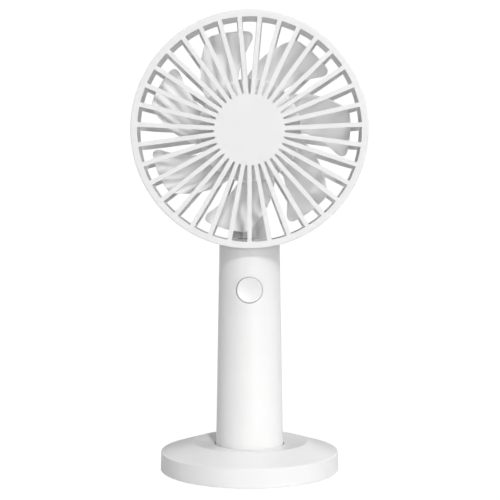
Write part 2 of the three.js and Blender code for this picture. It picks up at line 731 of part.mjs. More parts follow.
function handleTube() {
  const top = HEAD_HEIGHT - HEAD_RADIUS + REAR_CORNER_RADIUS;
  const outside = handleCone(0, HANDLE_FOOT, top);
  const hollow = handleCone(-HANDLE_WALL, HANDLE_FOOT - 1, BULKHEAD_BOTTOM);
  const neckSocket = post(NECK_RADIUS + GAP, BULKHEAD_TOP, top + 1, HANDLE_FACETS);
  const headSpace = turnedAlongY(headOutline(GAP, -GAP), FACETS, 0, FACE_Y, HEAD_HEIGHT);
  const bossBottom = HANDLE_FOOT + CAP_THICKNESS + GAP;
  const bosses = [-1, 1].map((side) => (
    post(CAP_BOSS_RADIUS, bossBottom, CAP_BOSS_TOP, 14, side * CAP_SCREW_X).intersect(outside)
  ));
  const bossHoles = [-1, 1].map((side) => (
    post(CAP_SCREW_HOLE_RADIUS, HANDLE_FOOT, CAP_BOSS_TOP - 1, 12, side * CAP_SCREW_X)
  ));
  const screwHoles = [-1, 1].map((side) => (
    post(SCREW_HOLE_RADIUS, BULKHEAD_BOTTOM - 1, BULKHEAD_TOP + 1, 12, side * NECK_SCREW_X, NECK_SCREW_Y)
  ));
  const wirePassage = post(WIRE_HOLE_RADIUS, BULKHEAD_BOTTOM - 1, BULKHEAD_TOP + 1, 16, 0, WIRE_HOLE_Y);
  const behind = HANDLE_FOOT_RADIUS + 1;
  const buttonRadius = BUTTON_RADIUS + BUTTON_GROOVE;
  const buttonHole = rodAlongY(buttonRadius, -behind, BUTTON_FLANGE_Y, 0, CONTROL_HEIGHT, 24);
  const ledHole = rodAlongY(LED_RADIUS + GAP, LED_X, behind, LED_X, CONTROL_HEIGHT, 14);
  const usbHole = usbOpening(GAP, LED_X, behind);
  const tube = outside.subtract(joined([hollow, neckSocket, headSpace]));
  const cutters = [...bossHoles, ...screwHoles, wirePassage, buttonHole, ledHole, usbHole];
  return without(joined([tube, ...bosses]), cutters);
}

function neckScrew(side) {
  const headTop = BULKHEAD_BOTTOM - GAP;
  const place = [side * NECK_SCREW_X, NECK_SCREW_Y];
  const head = [NECK_SCREW_HEAD_RADIUS, headTop - NECK_SCREW_HEAD_HEIGHT, headTop];
  return screw(...head, SCREW_SHANK_RADIUS, NECK_SCREW_TOP, ...place);
}

// A cap with a shallow dish in its face, a flange that keeps it in the handle and a long stem.
function powerButton() {
  const back = BUTTON_FLANGE_Y + 0.8;
  const wall = 1;
  const ceiling = BUTTON_FACE_Y + 1.5;
  const stemRadius = 1.8;
  return turnedAlongY([
    [0, BUTTON_FACE_Y + BUTTON_DISH_DEPTH],
    [BUTTON_RADIUS * 0.5, BUTTON_FACE_Y + BUTTON_DISH_DEPTH * 0.72],
    [BUTTON_RADIUS - 0.3, BUTTON_FACE_Y],
    [BUTTON_RADIUS, BUTTON_FACE_Y + 0.3],
    [BUTTON_RADIUS, BUTTON_FLANGE_Y],
    [BUTTON_RADIUS + 1, BUTTON_FLANGE_Y],
    [BUTTON_RADIUS + 1, back],
    [BUTTON_RADIUS - wall, back],
    [BUTTON_RADIUS - wall, ceiling],
    [stemRadius, ceiling],
    [stemRadius, BUTTON_STEM_END_Y],
    [0, BUTTON_STEM_END_Y],
  ], 24, 0, 0, CONTROL_HEIGHT);
}

function switchPlunger() {
  const start = BUTTON_STEM_END_Y + GAP;
  return rodAlongY(PLUNGER_RADIUS, start, start + PLUNGER_LENGTH, 0, CONTROL_HEIGHT, 20);
}

function switchBody() {
  const front = BUTTON_STEM_END_Y + GAP + PLUNGER_LENGTH + PLUNGER_TRAVEL + GAP;
  const back = -BOARD_THICKNESS / 2 - GAP;
  const half = SWITCH_WIDTH / 2;
  return block([-half, front, CONTROL_HEIGHT - half], [half, back, CONTROL_HEIGHT + half]);
}

function mainBoard() {
  return block(
    [-MAIN_BOARD_WIDTH / 2, -BOARD_THICKNESS / 2, MAIN_BOARD_BOTTOM],
    [MAIN_BOARD_WIDTH / 2, BOARD_THICKNESS / 2, MAIN_BOARD_TOP],
  );
}

function usbSocket() {
  const front = BOARD_THICKNESS / 2 + GAP;
  const shell = usbOpening(0, front, USB_MOUTH_Y);
  const pocketEnd = USB_MOUTH_Y - USB_POCKET_DEPTH;
  const pocket = usbOpening(-USB_WALL, pocketEnd, USB_MOUTH_Y + 1);
  const tongue = block(
    [-USB_TONGUE_WIDTH / 2, pocketEnd - 0.5, CONTROL_HEIGHT - USB_TONGUE_THICKNESS / 2],
    [USB_TONGUE_WIDTH / 2, USB_MOUTH_Y - 1, CONTROL_HEIGHT + USB_TONGUE_THICKNESS / 2],
  );
  return shell.subtract(pocket).add(tongue);
}

function chargeLed() {
  const end = Math.sqrt(handleRadius(CONTROL_HEIGHT) ** 2 - LED_X ** 2);
  return rodAlongY(LED_RADIUS, BOARD_THICKNESS / 2 + GAP, end - 0.1, LED_X, CONTROL_HEIGHT, 14);
}

// A C-shaped cradle that is open towards the button side.
function innerFrame() {
  const bottom = CAP_BOSS_TOP + 0.5;
  const top = CELL_BOTTOM + CELL_LENGTH;
  const start = THREE.MathUtils.degToRad(-90 + CRADLE_OPENING);
  const end = THREE.MathUtils.degToRad(270 - CRADLE_OPENING);
  const section = new THREE.Shape();
  section.absarc(0, 0, CRADLE_RADIUS, start, end, false);
  section.absarc(0, 0, CRADLE_RADIUS - CRADLE_WALL, end, start, true);
  const settings = { depth: top - bottom, bevelEnabled: false, curveSegments: 10 };
  const wall = new THREE.ExtrudeGeometry(section, settings);
  return solidOf(wall.translate(0, 0, bottom));
}

function batteryCell() {
  const top = CELL_BOTTOM + CELL_LENGTH;
  return turnedUpright([
    [0, CELL_BOTTOM],
    [CELL_RADIUS - 0.6, CELL_BOTTOM],
    [CELL_RADIUS, CELL_BOTTOM + 0.6],
    [CELL_RADIUS, top - 1.6],
    [CELL_RADIUS - 1, top - 0.6],
    [4, top - 0.6],
    [3.8, top],
    [0, top],
  ], 24);
}

function topTab() {
  const bottom = CELL_BOTTOM + CELL_LENGTH + GAP;
  return block([-6, -3, bottom], [6, 3, bottom + TAB_THICKNESS]);
}

function bottomTab() {
  const top = CELL_BOTTOM - GAP;
  return block([-3, -CELL_RADIUS - 0.4, top - TAB_THICKNESS], [3, 5, top]);
}

function positiveLead() {
  return wire([[-5, -1.9, 75], [-5, -2.5, 76.6], [-5, -1.5, 78.4]], 6);
}

function negativeLead() {
  return wire([
    [0, -10.5, 7.9],
    [0, -10.5, 24],
    [0, -10.5, 42],
    [0, -10.6, 58],
    [3.9, -9.9, 65],
    [7.3, -8, 71.5],
    [8, -5.2, 75.5],
    [8, -1.6, 79],
  ], 18);
}

function capScrewHole(side) {
  const x = side * CAP_SCREW_X;
  const clear = post(CAP_SCREW_HOLE_RADIUS, HANDLE_FOOT - 1, HANDLE_FOOT + CAP_THICKNESS + 1, 12, x);
  const well = post(CAP_WELL_RADIUS, HANDLE_FOOT - 1, HANDLE_FOOT + CAP_WELL_DEPTH, 14, x);
  return clear.add(well);
}

function bottomCap() {
  const disc = handleCone(-HANDLE_WALL - GAP, HANDLE_FOOT, HANDLE_FOOT + CAP_THICKNESS);
  return without(disc, [capScrewHole(-1), capScrewHole(1)]);
}

function capScrew(side) {
  const head = [CAP_SCREW_HEAD_RADIUS, HANDLE_FOOT + 0.1, HANDLE_FOOT + CAP_WELL_DEPTH - GAP];
  return screw(...head, CAP_SCREW_SHANK_RADIUS, CAP_SCREW_TOP, side * CAP_SCREW_X, 0);
}

// ---------------------------------------------------------------- base

function aroundBase(index) {
  const angle = (2 * Math.PI * index) / BASE_SCREW_COUNT + Math.PI / 2;
  return [BASE_SCREW_CIRCLE * Math.cos(angle), BASE_SCREW_CIRCLE * Math.sin(angle)];
}

function eachBaseScrew(make) {
  return Array.from({ length: BASE_SCREW_COUNT }, (unused, index) => make(...aroundBase(index)));
}

// The cup in the middle of the base that the handle stands in.
function baseSocket() {
  const outer = SOCKET_RADIUS + SOCKET_WALL;
  const underFloor = SOCKET_FLOOR - SOCKET_FLOOR_THICKNESS;
  return turnedUpright([
    [0, underFloor],
    [outer, underFloor],
    [outer, DISH_HEIGHT],
    [SOCKET_RADIUS + BASE_EDGE_BEVEL, DISH_HEIGHT],
    [SOCKET_RADIUS, DISH_HEIGHT - BASE_EDGE_BEVEL],
    [SOCKET_RADIUS, SOCKET_FLOOR],
    [0, SOCKET_FLOOR],
  ], BASE_FACETS);
}

// The round cover: a vertical side, a sloping top up to the crest, and a shallow dish inside it.
function baseShell() {
  const inner = SOCKET_RADIUS + SOCKET_WALL + GAP;
  const innerWall = BASE_RADIUS - BASE_SIDE_WALL;
  const shell = turnedUpright([
    [inner, DISH_HEIGHT - BASE_WALL],
    [CREST_RADIUS, CREST_HEIGHT - BASE_WALL],
    [innerWall, BASE_RIM_HEIGHT - BASE_WALL],
    [innerWall, BASE_SKIRT_BOTTOM],
    [BASE_RADIUS, BASE_SKIRT_BOTTOM],
    [BASE_RIM_RADIUS, BASE_RIM_HEIGHT - BASE_EDGE_BEVEL],
    [BASE_RIM_RADIUS - BASE_EDGE_BEVEL, BASE_RIM_HEIGHT],
    [CREST_RADIUS, CREST_HEIGHT],
    [inner, DISH_HEIGHT],
    [inner, DISH_HEIGHT - BASE_WALL],
  ], BASE_FACETS);
  const bossBottom = BASE_PLATE_TOP + GAP;
  const bosses = eachBaseScrew((x, y) => post(BASE_BOSS_RADIUS, bossBottom, BASE_BOSS_TOP, 16, x, y));
  const holeTop = BASE_SCREW_TOP + 1.2;
  const holes = eachBaseScrew((x, y) => post(SCREW_HOLE_RADIUS, BASE_PLATE_TOP, holeTop, 12, x, y));
  return without(joined([shell, ...bosses]), holes);
}

function baseWeight() {
  const bottom = BASE_PLATE_TOP + 0.4;
  const top = bottom + WEIGHT_THICKNESS;
  const ring = turnedUpright(ringProfile(WEIGHT_INNER_RADIUS, WEIGHT_OUTER_RADIUS, bottom, top), 36);
  const clearance = eachBaseScrew((x, y) => post(BASE_BOSS_RADIUS + 0.4, bottom - 1, top + 1, 16, x, y));
  return without(ring, clearance);
}

function baseBottom() {
  const plate = turnedUpright(rodProfile(BASE_RADIUS - 2.4, BASE_PLATE_BOTTOM, BASE_PLATE_TOP), BASE_FACETS);
  const grooveTop = BASE_PLATE_BOTTOM + FOOT_GROOVE_DEPTH;
  const groove = turnedUpright(
    ringProfile(FOOT_INNER_RADIUS - GAP, FOOT_OUTER_RADIUS + GAP, 0, grooveTop), BASE_FACETS,
  );
  const wellTop = BASE_PLATE_BOTTOM + BASE_WELL_DEPTH;
  const clear = eachBaseScrew((x, y) => post(SCREW_HOLE_RADIUS, 0, BASE_PLATE_TOP + 1, 12, x, y));
  const wells = eachBaseScrew((x, y) => post(BASE_BOSS_RADIUS, 0, wellTop, 16, x, y));
  return without(plate, [groove, ...clear, ...wells]);
}

function baseScrew([x, y]) {
  const head = [BASE_SCREW_HEAD_RADIUS, BASE_PLATE_BOTTOM + 0.1, BASE_PLATE_BOTTOM + BASE_WELL_DEPTH - GAP];
  return screw(...head, SCREW_SHANK_RADIUS, BASE_SCREW_TOP, x, y);
}

function footRing() {
  const top = BASE_PLATE_BOTTOM + FOOT_GROOVE_DEPTH - GAP;
  return turnedUpright(ringProfile(FOOT_INNER_RADIUS, FOOT_OUTER_RADIUS, 0, top), BASE_FACETS);
}

// ---------------------------------------------------------------- the whole fan

function headPieces() {
  const coils = Array.from({ length: TOOTH_COUNT }, (unused, index) => (
    piece(`coil_${index + 1}`, coil(index), 'copper')
  ));
  return groupOf([
    piece('front_grille', frontGrille(), 'white_plastic'),
    piece('grille_skirt', grilleSkirt(), 'white_plastic'),
    piece('rear_housing', rearHousing(), 'white_plastic'),
    piece('rear_shoulder', rearShoulder(), 'white_plastic'),
    piece('rear_cage', rearCage(), 'white_plastic'),
    piece('wire_channel_cover', wireChannelCover(), 'white_plastic'),
    piece('impeller', impeller(), 'blade_plastic'),
    piece('rotor_yoke', rotorYoke(), 'steel'),
    piece('magnet_ring', magnetRing(), 'magnet'),
    piece('motor_shaft', motorShaft(), 'steel'),
    piece('shaft_clip', shaftClip(), 'steel'),
    piece('bearing_tube', bearingTube(), 'brass'),
    piece('bearing_front', bearing(BEARING_TUBE_FRONT + GAP), 'steel'),
    piece('bearing_rear', bearing(CLIP_GROOVE_FRONT - GAP - BEARING_LENGTH), 'steel'),
    piece('stator_core', statorCore(), 'steel'),
    ...coils,
    piece('motor_board', motorBoard(), 'board'),
  ]);
}

function handlePieces() {
  return groupOf([
    piece('handle_tube', handleTube(), 'white_plastic'),
    piece('neck_screw_left', neckScrew(-1), 'steel'),
    piece('neck_screw_right', neckScrew(1), 'steel'),
    piece('power_button', powerButton(), 'white_plastic'),
    piece('switch_plunger', switchPlunger(), 'black_plastic'),
    piece('switch_body', switchBody(), 'black_plastic'),
    piece('main_board', mainBoard(), 'board'),
    piece('usb_socket', usbSocket(), 'steel'),
    piece('charge_led', chargeLed(), 'light_pipe'),
    piece('inner_frame', innerFrame(), 'inner_plastic'),
    piece('battery_cell', batteryCell(), 'cell_wrap'),
    piece('battery_tab_positive', topTab(), 'steel'),
    piece('battery_tab_negative', bottomTab(), 'steel'),
    piece('battery_lead_positive', positiveLead(), 'red_wire'),
    piece('battery_lead_negative', negativeLead(), 'black_wire'),
    piece('motor_lead_positive', motorLead(1), 'red_wire'),
    piece('motor_lead_negative', motorLead(-1), 'black_wire'),
    piece('bottom_cap', bottomCap(), 'white_plastic'),
    piece('cap_screw_left', capScrew(-1), 'steel'),
    piece('cap_screw_right', capScrew(1), 'steel'),
  ]);
}

function basePieces() {
  const screws = Array.from({ length: BASE_SCREW_COUNT }, (unused, index) => (
    piece(`base_screw_${index + 1}`, baseScrew(aroundBase(index)), 'steel')
  ));
  return groupOf([
    piece('base_shell', baseShell(), 'white_plastic'),
    piece('base_socket', baseSocket(), 'white_plastic'),
    piece('base_weight', baseWeight(), 'steel'),
    piece('base_bottom', baseBottom(), 'white_plastic'),
    piece('base_foot_ring', footRing(), 'rubber'),
    ...screws,
  ]);
}

const head = headPieces();
head.position.set(0, FACE_Y, HEAD_HEIGHT);

const fan = new THREE.Group();
fan.add(head, handlePieces(), basePieces());

export default fan;
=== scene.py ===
"""The looks of a handheld electric fan in its table base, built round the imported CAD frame.

Outlines below are in millimetres, in the part's own frame: +Z up, the fan blows towards -Y.
"""

import json
import math

import bmesh
import bpy
from mathutils import Matrix, Vector


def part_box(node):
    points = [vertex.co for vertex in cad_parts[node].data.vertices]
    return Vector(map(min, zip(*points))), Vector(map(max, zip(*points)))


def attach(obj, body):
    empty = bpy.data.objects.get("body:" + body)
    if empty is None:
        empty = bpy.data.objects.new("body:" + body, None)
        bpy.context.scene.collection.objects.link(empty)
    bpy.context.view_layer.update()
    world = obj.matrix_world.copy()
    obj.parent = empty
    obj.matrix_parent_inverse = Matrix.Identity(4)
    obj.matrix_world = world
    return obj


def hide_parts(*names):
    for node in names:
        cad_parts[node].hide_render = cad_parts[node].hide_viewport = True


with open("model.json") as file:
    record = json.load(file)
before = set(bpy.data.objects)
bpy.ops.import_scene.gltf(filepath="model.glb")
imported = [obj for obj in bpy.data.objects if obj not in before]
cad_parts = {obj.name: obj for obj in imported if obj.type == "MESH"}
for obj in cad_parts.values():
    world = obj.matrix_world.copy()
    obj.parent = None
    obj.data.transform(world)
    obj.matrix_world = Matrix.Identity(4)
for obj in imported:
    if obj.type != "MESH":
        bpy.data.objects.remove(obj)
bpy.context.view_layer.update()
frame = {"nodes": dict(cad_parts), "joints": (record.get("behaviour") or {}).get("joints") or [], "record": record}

MM = 0.001

# ---------------------------------------------------------------- sizes taken from the frame

JOINTS = {joint["name"]: joint for joint in frame["joints"]}
AXIS_HEIGHT = JOINTS["impeller_spin"]["pos_m"][2] / MM
FACE_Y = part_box("front_grille")[0].y / MM
HEAD_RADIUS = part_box("front_grille")[1].z / MM - AXIS_HEIGHT
HEAD_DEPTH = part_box("rear_cage")[1].y / MM - FACE_Y
SKIRT_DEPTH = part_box("grille_skirt")[1].y / MM - FACE_Y
BASE_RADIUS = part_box("base_shell")[1].x / MM
HANDLE_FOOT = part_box("handle_tube")[0].z / MM
HANDLE_FOOT_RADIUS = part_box("handle_tube")[1].x / MM
CONTROL_HEIGHT = sum(corner.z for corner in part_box("usb_socket")) / 2 / MM

# ---------------------------------------------------------------- other sizes, in millimetres

OVERCUT = 1.0                   # how far a cutter reaches past the piece that it cuts
CLEARANCE = 0.3                 # between mouldings that fit into each other

SPOKE_COUNT = 35
SPOKE_WIDTH = 1.9
SPOKE_DEPTH = 1.8
FACE_DISC_RADIUS = 15.4
FACE_OPENING_RADIUS = 48.6
FACE_RIM_DEPTH = 2.7
FACE_SLOT_FILLETS = (0.15, 0.3)  # at a slot's inner and outer end
SKIRT_RADIUS = 50.0
SKIRT_BORE_RADIUS = FACE_OPENING_RADIUS + 0.15
SEAM = 0.25                     # gap between the mouldings of the head

REAR_WALL = 2.0
REAR_CORNER_RADIUS = 13.0
REAR_BAR_WIDTH = 2.65
REAR_SEAT_RADIUS = 22.2
REAR_SEAT_FILLET = 0.6
REAR_RING_DEPTH = 20.0          # depth where the ring ends and the cage begins
REAR_SLOT_START = 21.8
PLINTH_RADIUS = 21.2
PLINTH_WALL = 1.6
PLINTH_FRONT = 25.3
PLINTH_NOTCH_HALF_WIDTH = 2.6
PLINTH_NOTCH_HEIGHT = 3.0
NECK_FLOOR_HEIGHT = 103.7
NECK_FLOOR_DEPTH = 6.0
NECK_FRONT_GAP = 0.6
CHANNEL_WIDTH = 6.3
CHANNEL_FRONT = 25.1
CHANNEL_WALL = 0.9
CHANNEL_BACK_GAP = 0.2

BLADE_COUNT = 7
HUB_RADIUS = 22.7
HUB_FRONT = 8.2
HUB_BACK = 24.0
HUB_WALL = 1.5
HUB_EDGE = 0.4
HUB_FLOOR = 10.0
BLADE_ROOT_RADIUS = 21.9
BLADE_TIP_RADIUS = 44.8
BLADE_FRONT = 10.4
BLADE_BACK = 22.4
BLADE_THICKNESS = 1.15
BLADE_LEADING_CORNER = 5.1
BLADE_TRAILING_CORNER = 2.2
BLADE_TRAILING_FALL = 0.7       # share of its full arc that the trailing corner falls back
BLADE_CAMBER_POWER = 1.4
BLADE_EDGE_POWER = 10           # the higher, the later the blade thins towards its side edges
BLADE_TIP_POWER = 16            # and towards its tip
LEADING_ROOT_ANGLE = -14.2
LEADING_TIP_ANGLE = 5.0
TRAILING_ROOT_ANGLE = -56.3
TRAILING_TIP_ANGLE = -24.4
CHORD_STEPS = 36
SPAN_STEPS = 22
SPAN_GATHER = 1.6               # gathers the blade's rows of points towards its tip

HANDLE_TAPER = 0.0175
HANDLE_WALL = 1.8
HANDLE_CEILING = 90.0
HANDLE_SEAM = 0.12              # gap between the handle and the ring that rests on it
HOLE_INNER_Y = 8.0              # the stretch that the cutters of the rear holes cover
HOLE_OUTER_Y = 20.0
BUTTON_RADIUS = 5.66
BUTTON_HOLE_RADIUS = 5.86
BUTTON_FACE_Y = -13.75
BUTTON_FACE_THICKNESS = 1.5
BUTTON_DISH_DEPTH = 0.7
BUTTON_DISH_STEPS = 10
BUTTON_EDGE = 0.35
BUTTON_WALL = 1.0
BUTTON_FLANGE_Y = -9.6
BUTTON_FLANGE_WIDTH = 1.0
BUTTON_FLANGE_THICKNESS = 0.8
BUTTON_STEM_RADIUS = 1.8
BUTTON_STEM_END_Y = -6.3
USB_WIDTH = 8.9
USB_HEIGHT = 3.2
USB_WALL = 0.35
USB_HOLE_GAP = 0.25
USB_MOUTH_Y = 13.1
USB_MOUTH_DEPTH = 6.5
USB_BACK_Y = 0.9
TONGUE_HALF_WIDTH = 3.35
TONGUE_HALF_THICKNESS = 0.35
TONGUE_RECESS = 1.0
TONGUE_ROOT = 7.0
LED_X = 7.0
LED_RADIUS = 1.0
LED_HOLE_GAP = 0.2
LED_EDGE = 0.4

BASE_RIM_RADIUS = 39.8
BASE_RIM_HEIGHT = 8.7
BASE_SKIRT_BOTTOM = 0.5
BASE_SIDE_WALL = 2.1
BASE_WALL = 1.9
CREST_RADIUS = 25.9
CREST_HEIGHT = 13.0
UNDERSIDE_SHIFT = 0.3           # brings the underside of the slope inwards at the crest, upwards at the rim
DISH_HEIGHT = 11.9
SOCKET_RADIUS = 15.55
SOCKET_FLOOR = 5.0
SOCKET_WALL = 1.65
SOCKET_FLOOR_WALL = 1.6
PLATE_RADIUS = BASE_RADIUS - BASE_SIDE_WALL - CLEARANCE
PLATE_BOTTOM = 0.9
PLATE_TOP = 2.9
FOOT_INNER_RADIUS = 31.0
FOOT_OUTER_RADIUS = 36.0
FOOT_TOP = 1.3
FOOT_EDGE_HEIGHT = 0.35
FOOT_SEAT_DEPTH = 0.7
FOOT_GROOVE_COUNT = 5
FOOT_GROOVE_DEPTH = 0.25
FOOT_GROOVE_FLOOR = 0.12        # half widths of a groove at its floor and at its mouth
FOOT_GROOVE_MOUTH = 0.28
CAP_TOP = 7.2
CAP_GAP = 0.25

BASE_SCREW_CIRCLE = 26.0
BASE_SCREW_COUNT = 3
BASE_SCREW = {"head_radius": 2.4, "head_bottom": 1.0, "head_top": 1.8,
              "shank_radius": 0.85, "shank_top": 9.0}
BASE_WELL = {"bottom": 0.0, "radius": 2.8, "floor": PLATE_BOTTOM + 1.2,
             "hole_radius": 1.15, "top": 4.0}
CAP_SCREW_X = 11.4
CAP_SCREW = {"head_radius": 1.4, "head_bottom": 5.4, "head_top": 6.1,
             "shank_radius": 0.7, "shank_top": 11.5}
CAP_WELL = {"bottom": 4.0, "radius": 1.65, "floor": HANDLE_FOOT + 1.05,
            "hole_radius": 1.0, "top": 9.0}
CROSS_ARM = 0.55                # the cross recess, in shares of the screw head's radius
CROSS_HALF_WIDTH = 0.1
CROSS_DEPTH_SHARE = 0.75        # its depth, in shares of the head's height
CROSS_DEPTH_LIMIT = 0.55

GRILLE_EDGE = 0.09              # radii of the edges that soften() rounds
FILLER_EDGE = 0.15
CAGE_EDGE = 0.3
COVER_EDGE = 0.25
HANDLE_EDGE = 0.2
USB_EDGE = 0.1
PLATE_EDGE = 0.15
CAP_EDGE = 0.12
SOFTENED_ANGLE = 32             # in degrees: soften() rounds edges sharper than this
SHARP_ANGLE = 38                # in degrees: smooth() leaves edges sharper than this
SCREW_SHARP_ANGLE = 30

HEAD_SEGMENTS = 8 * SPOKE_COUNT
ROUND_SEGMENTS = 144
BUTTON_SEGMENTS = 96
BUTTON_HOLE_SEGMENTS = 72
SMALL_SEGMENTS = 48
LED_SEGMENTS = 32
REAR_CORNER_STEPS = 14          # steps in quarter and half circles
SLOT_END_STEPS = 12
EDGE_STEPS = 6
CROWN_STEPS = 4                 # and across the outer end of a slot


# ---------------------------------------------------------------- outlines

def handle_radius(height):
    return HANDLE_FOOT_RADIUS - HANDLE_TAPER * (height - HANDLE_FOOT)


def rounded(corners, closed=True, steps=5):
    """A polyline of (a, b, fillet radius) corners, with each corner rounded by an arc."""
    points = []
    count = len(corners)
    for index, (a, b, radius) in enumerate(corners):
        here = Vector((a, b))
        at_end = not closed and index in (0, count - 1)
        if radius <= 0 or at_end:
            points.append((a, b))
            continue
        before = Vector(corners[index - 1][:2]) - here
        after = Vector(corners[(index + 1) % count][:2]) - here
        half = before.angle(after) / 2
        cut = radius / math.tan(half)
        start = here + before.normalized() * cut
        end = here + after.normalized() * cut
        middle = here + (before.normalized() + after.normalized()).normalized() * radius / math.sin(half)
        sweep = (end - middle).angle_signed(start - middle)
        for step in range(steps + 1):
            spoke = Matrix.Rotation(sweep * step / steps, 2) @ (start - middle)
            points.append(tuple(middle + spoke))
    return points


def arc(centre, radius, start, end, steps):
    """Points of a circular arc between two angles in degrees."""
    points = []
    for step in range(steps + 1):
        angle = math.radians(start + (end - start) * step / steps)
        points.append((centre[0] + radius * math.cos(angle), centre[1] + radius * math.sin(angle)))
    return points


# ---------------------------------------------------------------- meshes

def new_object(name, mesh_data):
    mesh = bpy.data.meshes.new(name)
    mesh_data.to_mesh(mesh)
    mesh_data.free()
    piece = bpy.data.objects.new(name, mesh)
    bpy.context.scene.collection.objects.link(piece)
    return piece


def turned(name, profile, segments, along="z", place=(0, 0, 0)):
    """A closed solid of revolution. The profile of (radius, distance along the axis) closes on itself,
    or starts and ends on the axis."""
    shape = bmesh.new()
    rings = []
    for radius, distance in profile:
        ring = []
        for step in range(1 if radius < 1e-6 else segments):
            angle = 2 * math.pi * step / segments
            if along == "z":
                point = Vector((radius * math.cos(angle), radius * math.sin(angle), distance))
            else:
                point = Vector((radius * math.sin(angle), distance, radius * math.cos(angle)))
            ring.append(shape.verts.new((point + Vector(place)) * MM))
        rings.append(ring)
    on_axis = len(rings[0]) == 1
    pairs = list(zip(rings, rings[1:])) + ([] if on_axis else [(rings[-1], rings[0])])
    for low, high in pairs:
        for step in range(segments):
            following = (step + 1) % segments
            corners = [low[step % len(low)], low[following % len(low)],
                       high[following % len(high)], high[step % len(high)]]
            face = list(dict.fromkeys(corners))
            if len(face) > 2:
                shape.faces.new(face)
    bmesh.ops.recalc_face_normals(shape, faces=shape.faces)
    return new_object(name, shape)


def prism_into(shape, outline, start, end, transform):
    """Adds a closed prism to a bmesh: the outline lies in local x, z and runs from start to end in y."""
    near = [shape.verts.new(transform @ Vector((x, start, z)) * MM) for x, z in outline]
    far = [shape.verts.new(transform @ Vector((x, end, z)) * MM) for x, z in outline]
    shape.faces.new(near)
    shape.faces.new(list(reversed(far)))
    for index in range(len(outline)):
        following = (index + 1) % len(outline)
        shape.faces.new([near[following], near[index], far[index], far[following]])


def prisms(name, outlines_and_places, start, end):
    shape = bmesh.new()
    for outline, transform in outlines_and_places:
        prism_into(shape, outline, start, end, transform)
    bmesh.ops.recalc_face_normals(shape, faces=shape.faces)
    return new_object(name, shape)


def block(name, low, high):
    shape = bmesh.new()
    outline = [(low[0], low[2]), (high[0], low[2]), (high[0], high[2]), (low[0], high[2])]
    prism_into(shape, outline, low[1], high[1], Matrix.Identity(4))
    bmesh.ops.recalc_face_normals(shape, faces=shape.faces)
    return new_object(name, shape)


def bake(piece):
    """Replaces the mesh by what its modifiers make of it."""
    bpy.context.view_layer.update()
    graph = bpy.context.evaluated_depsgraph_get()
    result = bpy.data.meshes.new_from_object(piece.evaluated_get(graph))
    piece.modifiers.clear()
    piece.data = result


def combine(piece, others, operation):
    """Joins or cuts a piece by other closed meshes, which are used up."""
    for other in others:
        step = piece.modifiers.new("combine", "BOOLEAN")
        step.operation = operation
        step.solver = "MANIFOLD"
        step.object = other
        bake(piece)
        bpy.data.objects.remove(other)


def soften(piece, width, steps=2):
    """Rounds every edge that is sharper than SOFTENED_ANGLE."""
    bevel = piece.modifiers.new("bevel", "BEVEL")
    bevel.width = width * MM
    bevel.segments = steps
    bevel.limit_method = "ANGLE"
    bevel.angle_limit = math.radians(SOFTENED_ANGLE)
    bevel.use_clamp_overlap = True
    bevel.miter_outer = "MITER_ARC"
    bake(piece)


def smooth(piece, sharp=SHARP_ANGLE):
    """Shades a piece smooth, and keeps its flat faces flat and its sharp edges sharp."""
    mesh = piece.data
    mesh.polygons.foreach_set("use_smooth", [True] * len(mesh.polygons))
    mesh.set_sharp_from_angle(angle=math.radians(sharp))
    flatten = piece.modifiers.new("flatten", "WEIGHTED_NORMAL")
    flatten.keep_sharp = True
    flatten.weight = 100
    bake(piece)
    return piece


def install(piece, body, slot, *nodes):
    """Gives a finished mesh its material and its body, and hides the CAD nodes that it stands for."""
    piece.data.materials.clear()
    piece.data.materials.append(MATERIALS[slot])
    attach(piece, body)
    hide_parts(*nodes)


# ---------------------------------------------------------------- head

HEAD_PLACE = (0, FACE_Y, AXIS_HEIGHT)


def sector(turn):
    """Places a sector outline, drawn upwards from the fan axis, at an angle round the head."""
    return Matrix.Translation(Vector(HEAD_PLACE)) @ Matrix.Rotation(turn, 4, "Y")


def between_bars(outline, gaps):
    """Places an outline in gaps between the bars, which are numbered from the bottom of the head."""
    half_pitch = math.pi / SPOKE_COUNT
    return [(outline, sector(math.pi + half_pitch * (2 * gap + 1))) for gap in gaps]


def slot_outline(bar_width, inner, outer, inner_fillet, outer_fillet):
    """The opening between two neighbouring bars, from one radius to another."""
    half_pitch = math.pi / SPOKE_COUNT

    def half_width(radius):
        return radius * math.tan(half_pitch) - bar_width / 2 / math.cos(half_pitch)

    reach = math.sqrt(outer ** 2 - half_width(outer) ** 2)
    width = half_width(reach)
    crown = []
    for step in range(1, CROWN_STEPS):
        x = width * (1 - 2 * step / CROWN_STEPS)
        crown.append((x, math.sqrt(outer ** 2 - x ** 2), 0))
    corners = [(-half_width(inner), inner, inner_fillet), (half_width(inner), inner, inner_fillet),
               (width, reach, outer_fillet), *crown, (-width, reach, outer_fillet)]
    return rounded(corners, steps=4)


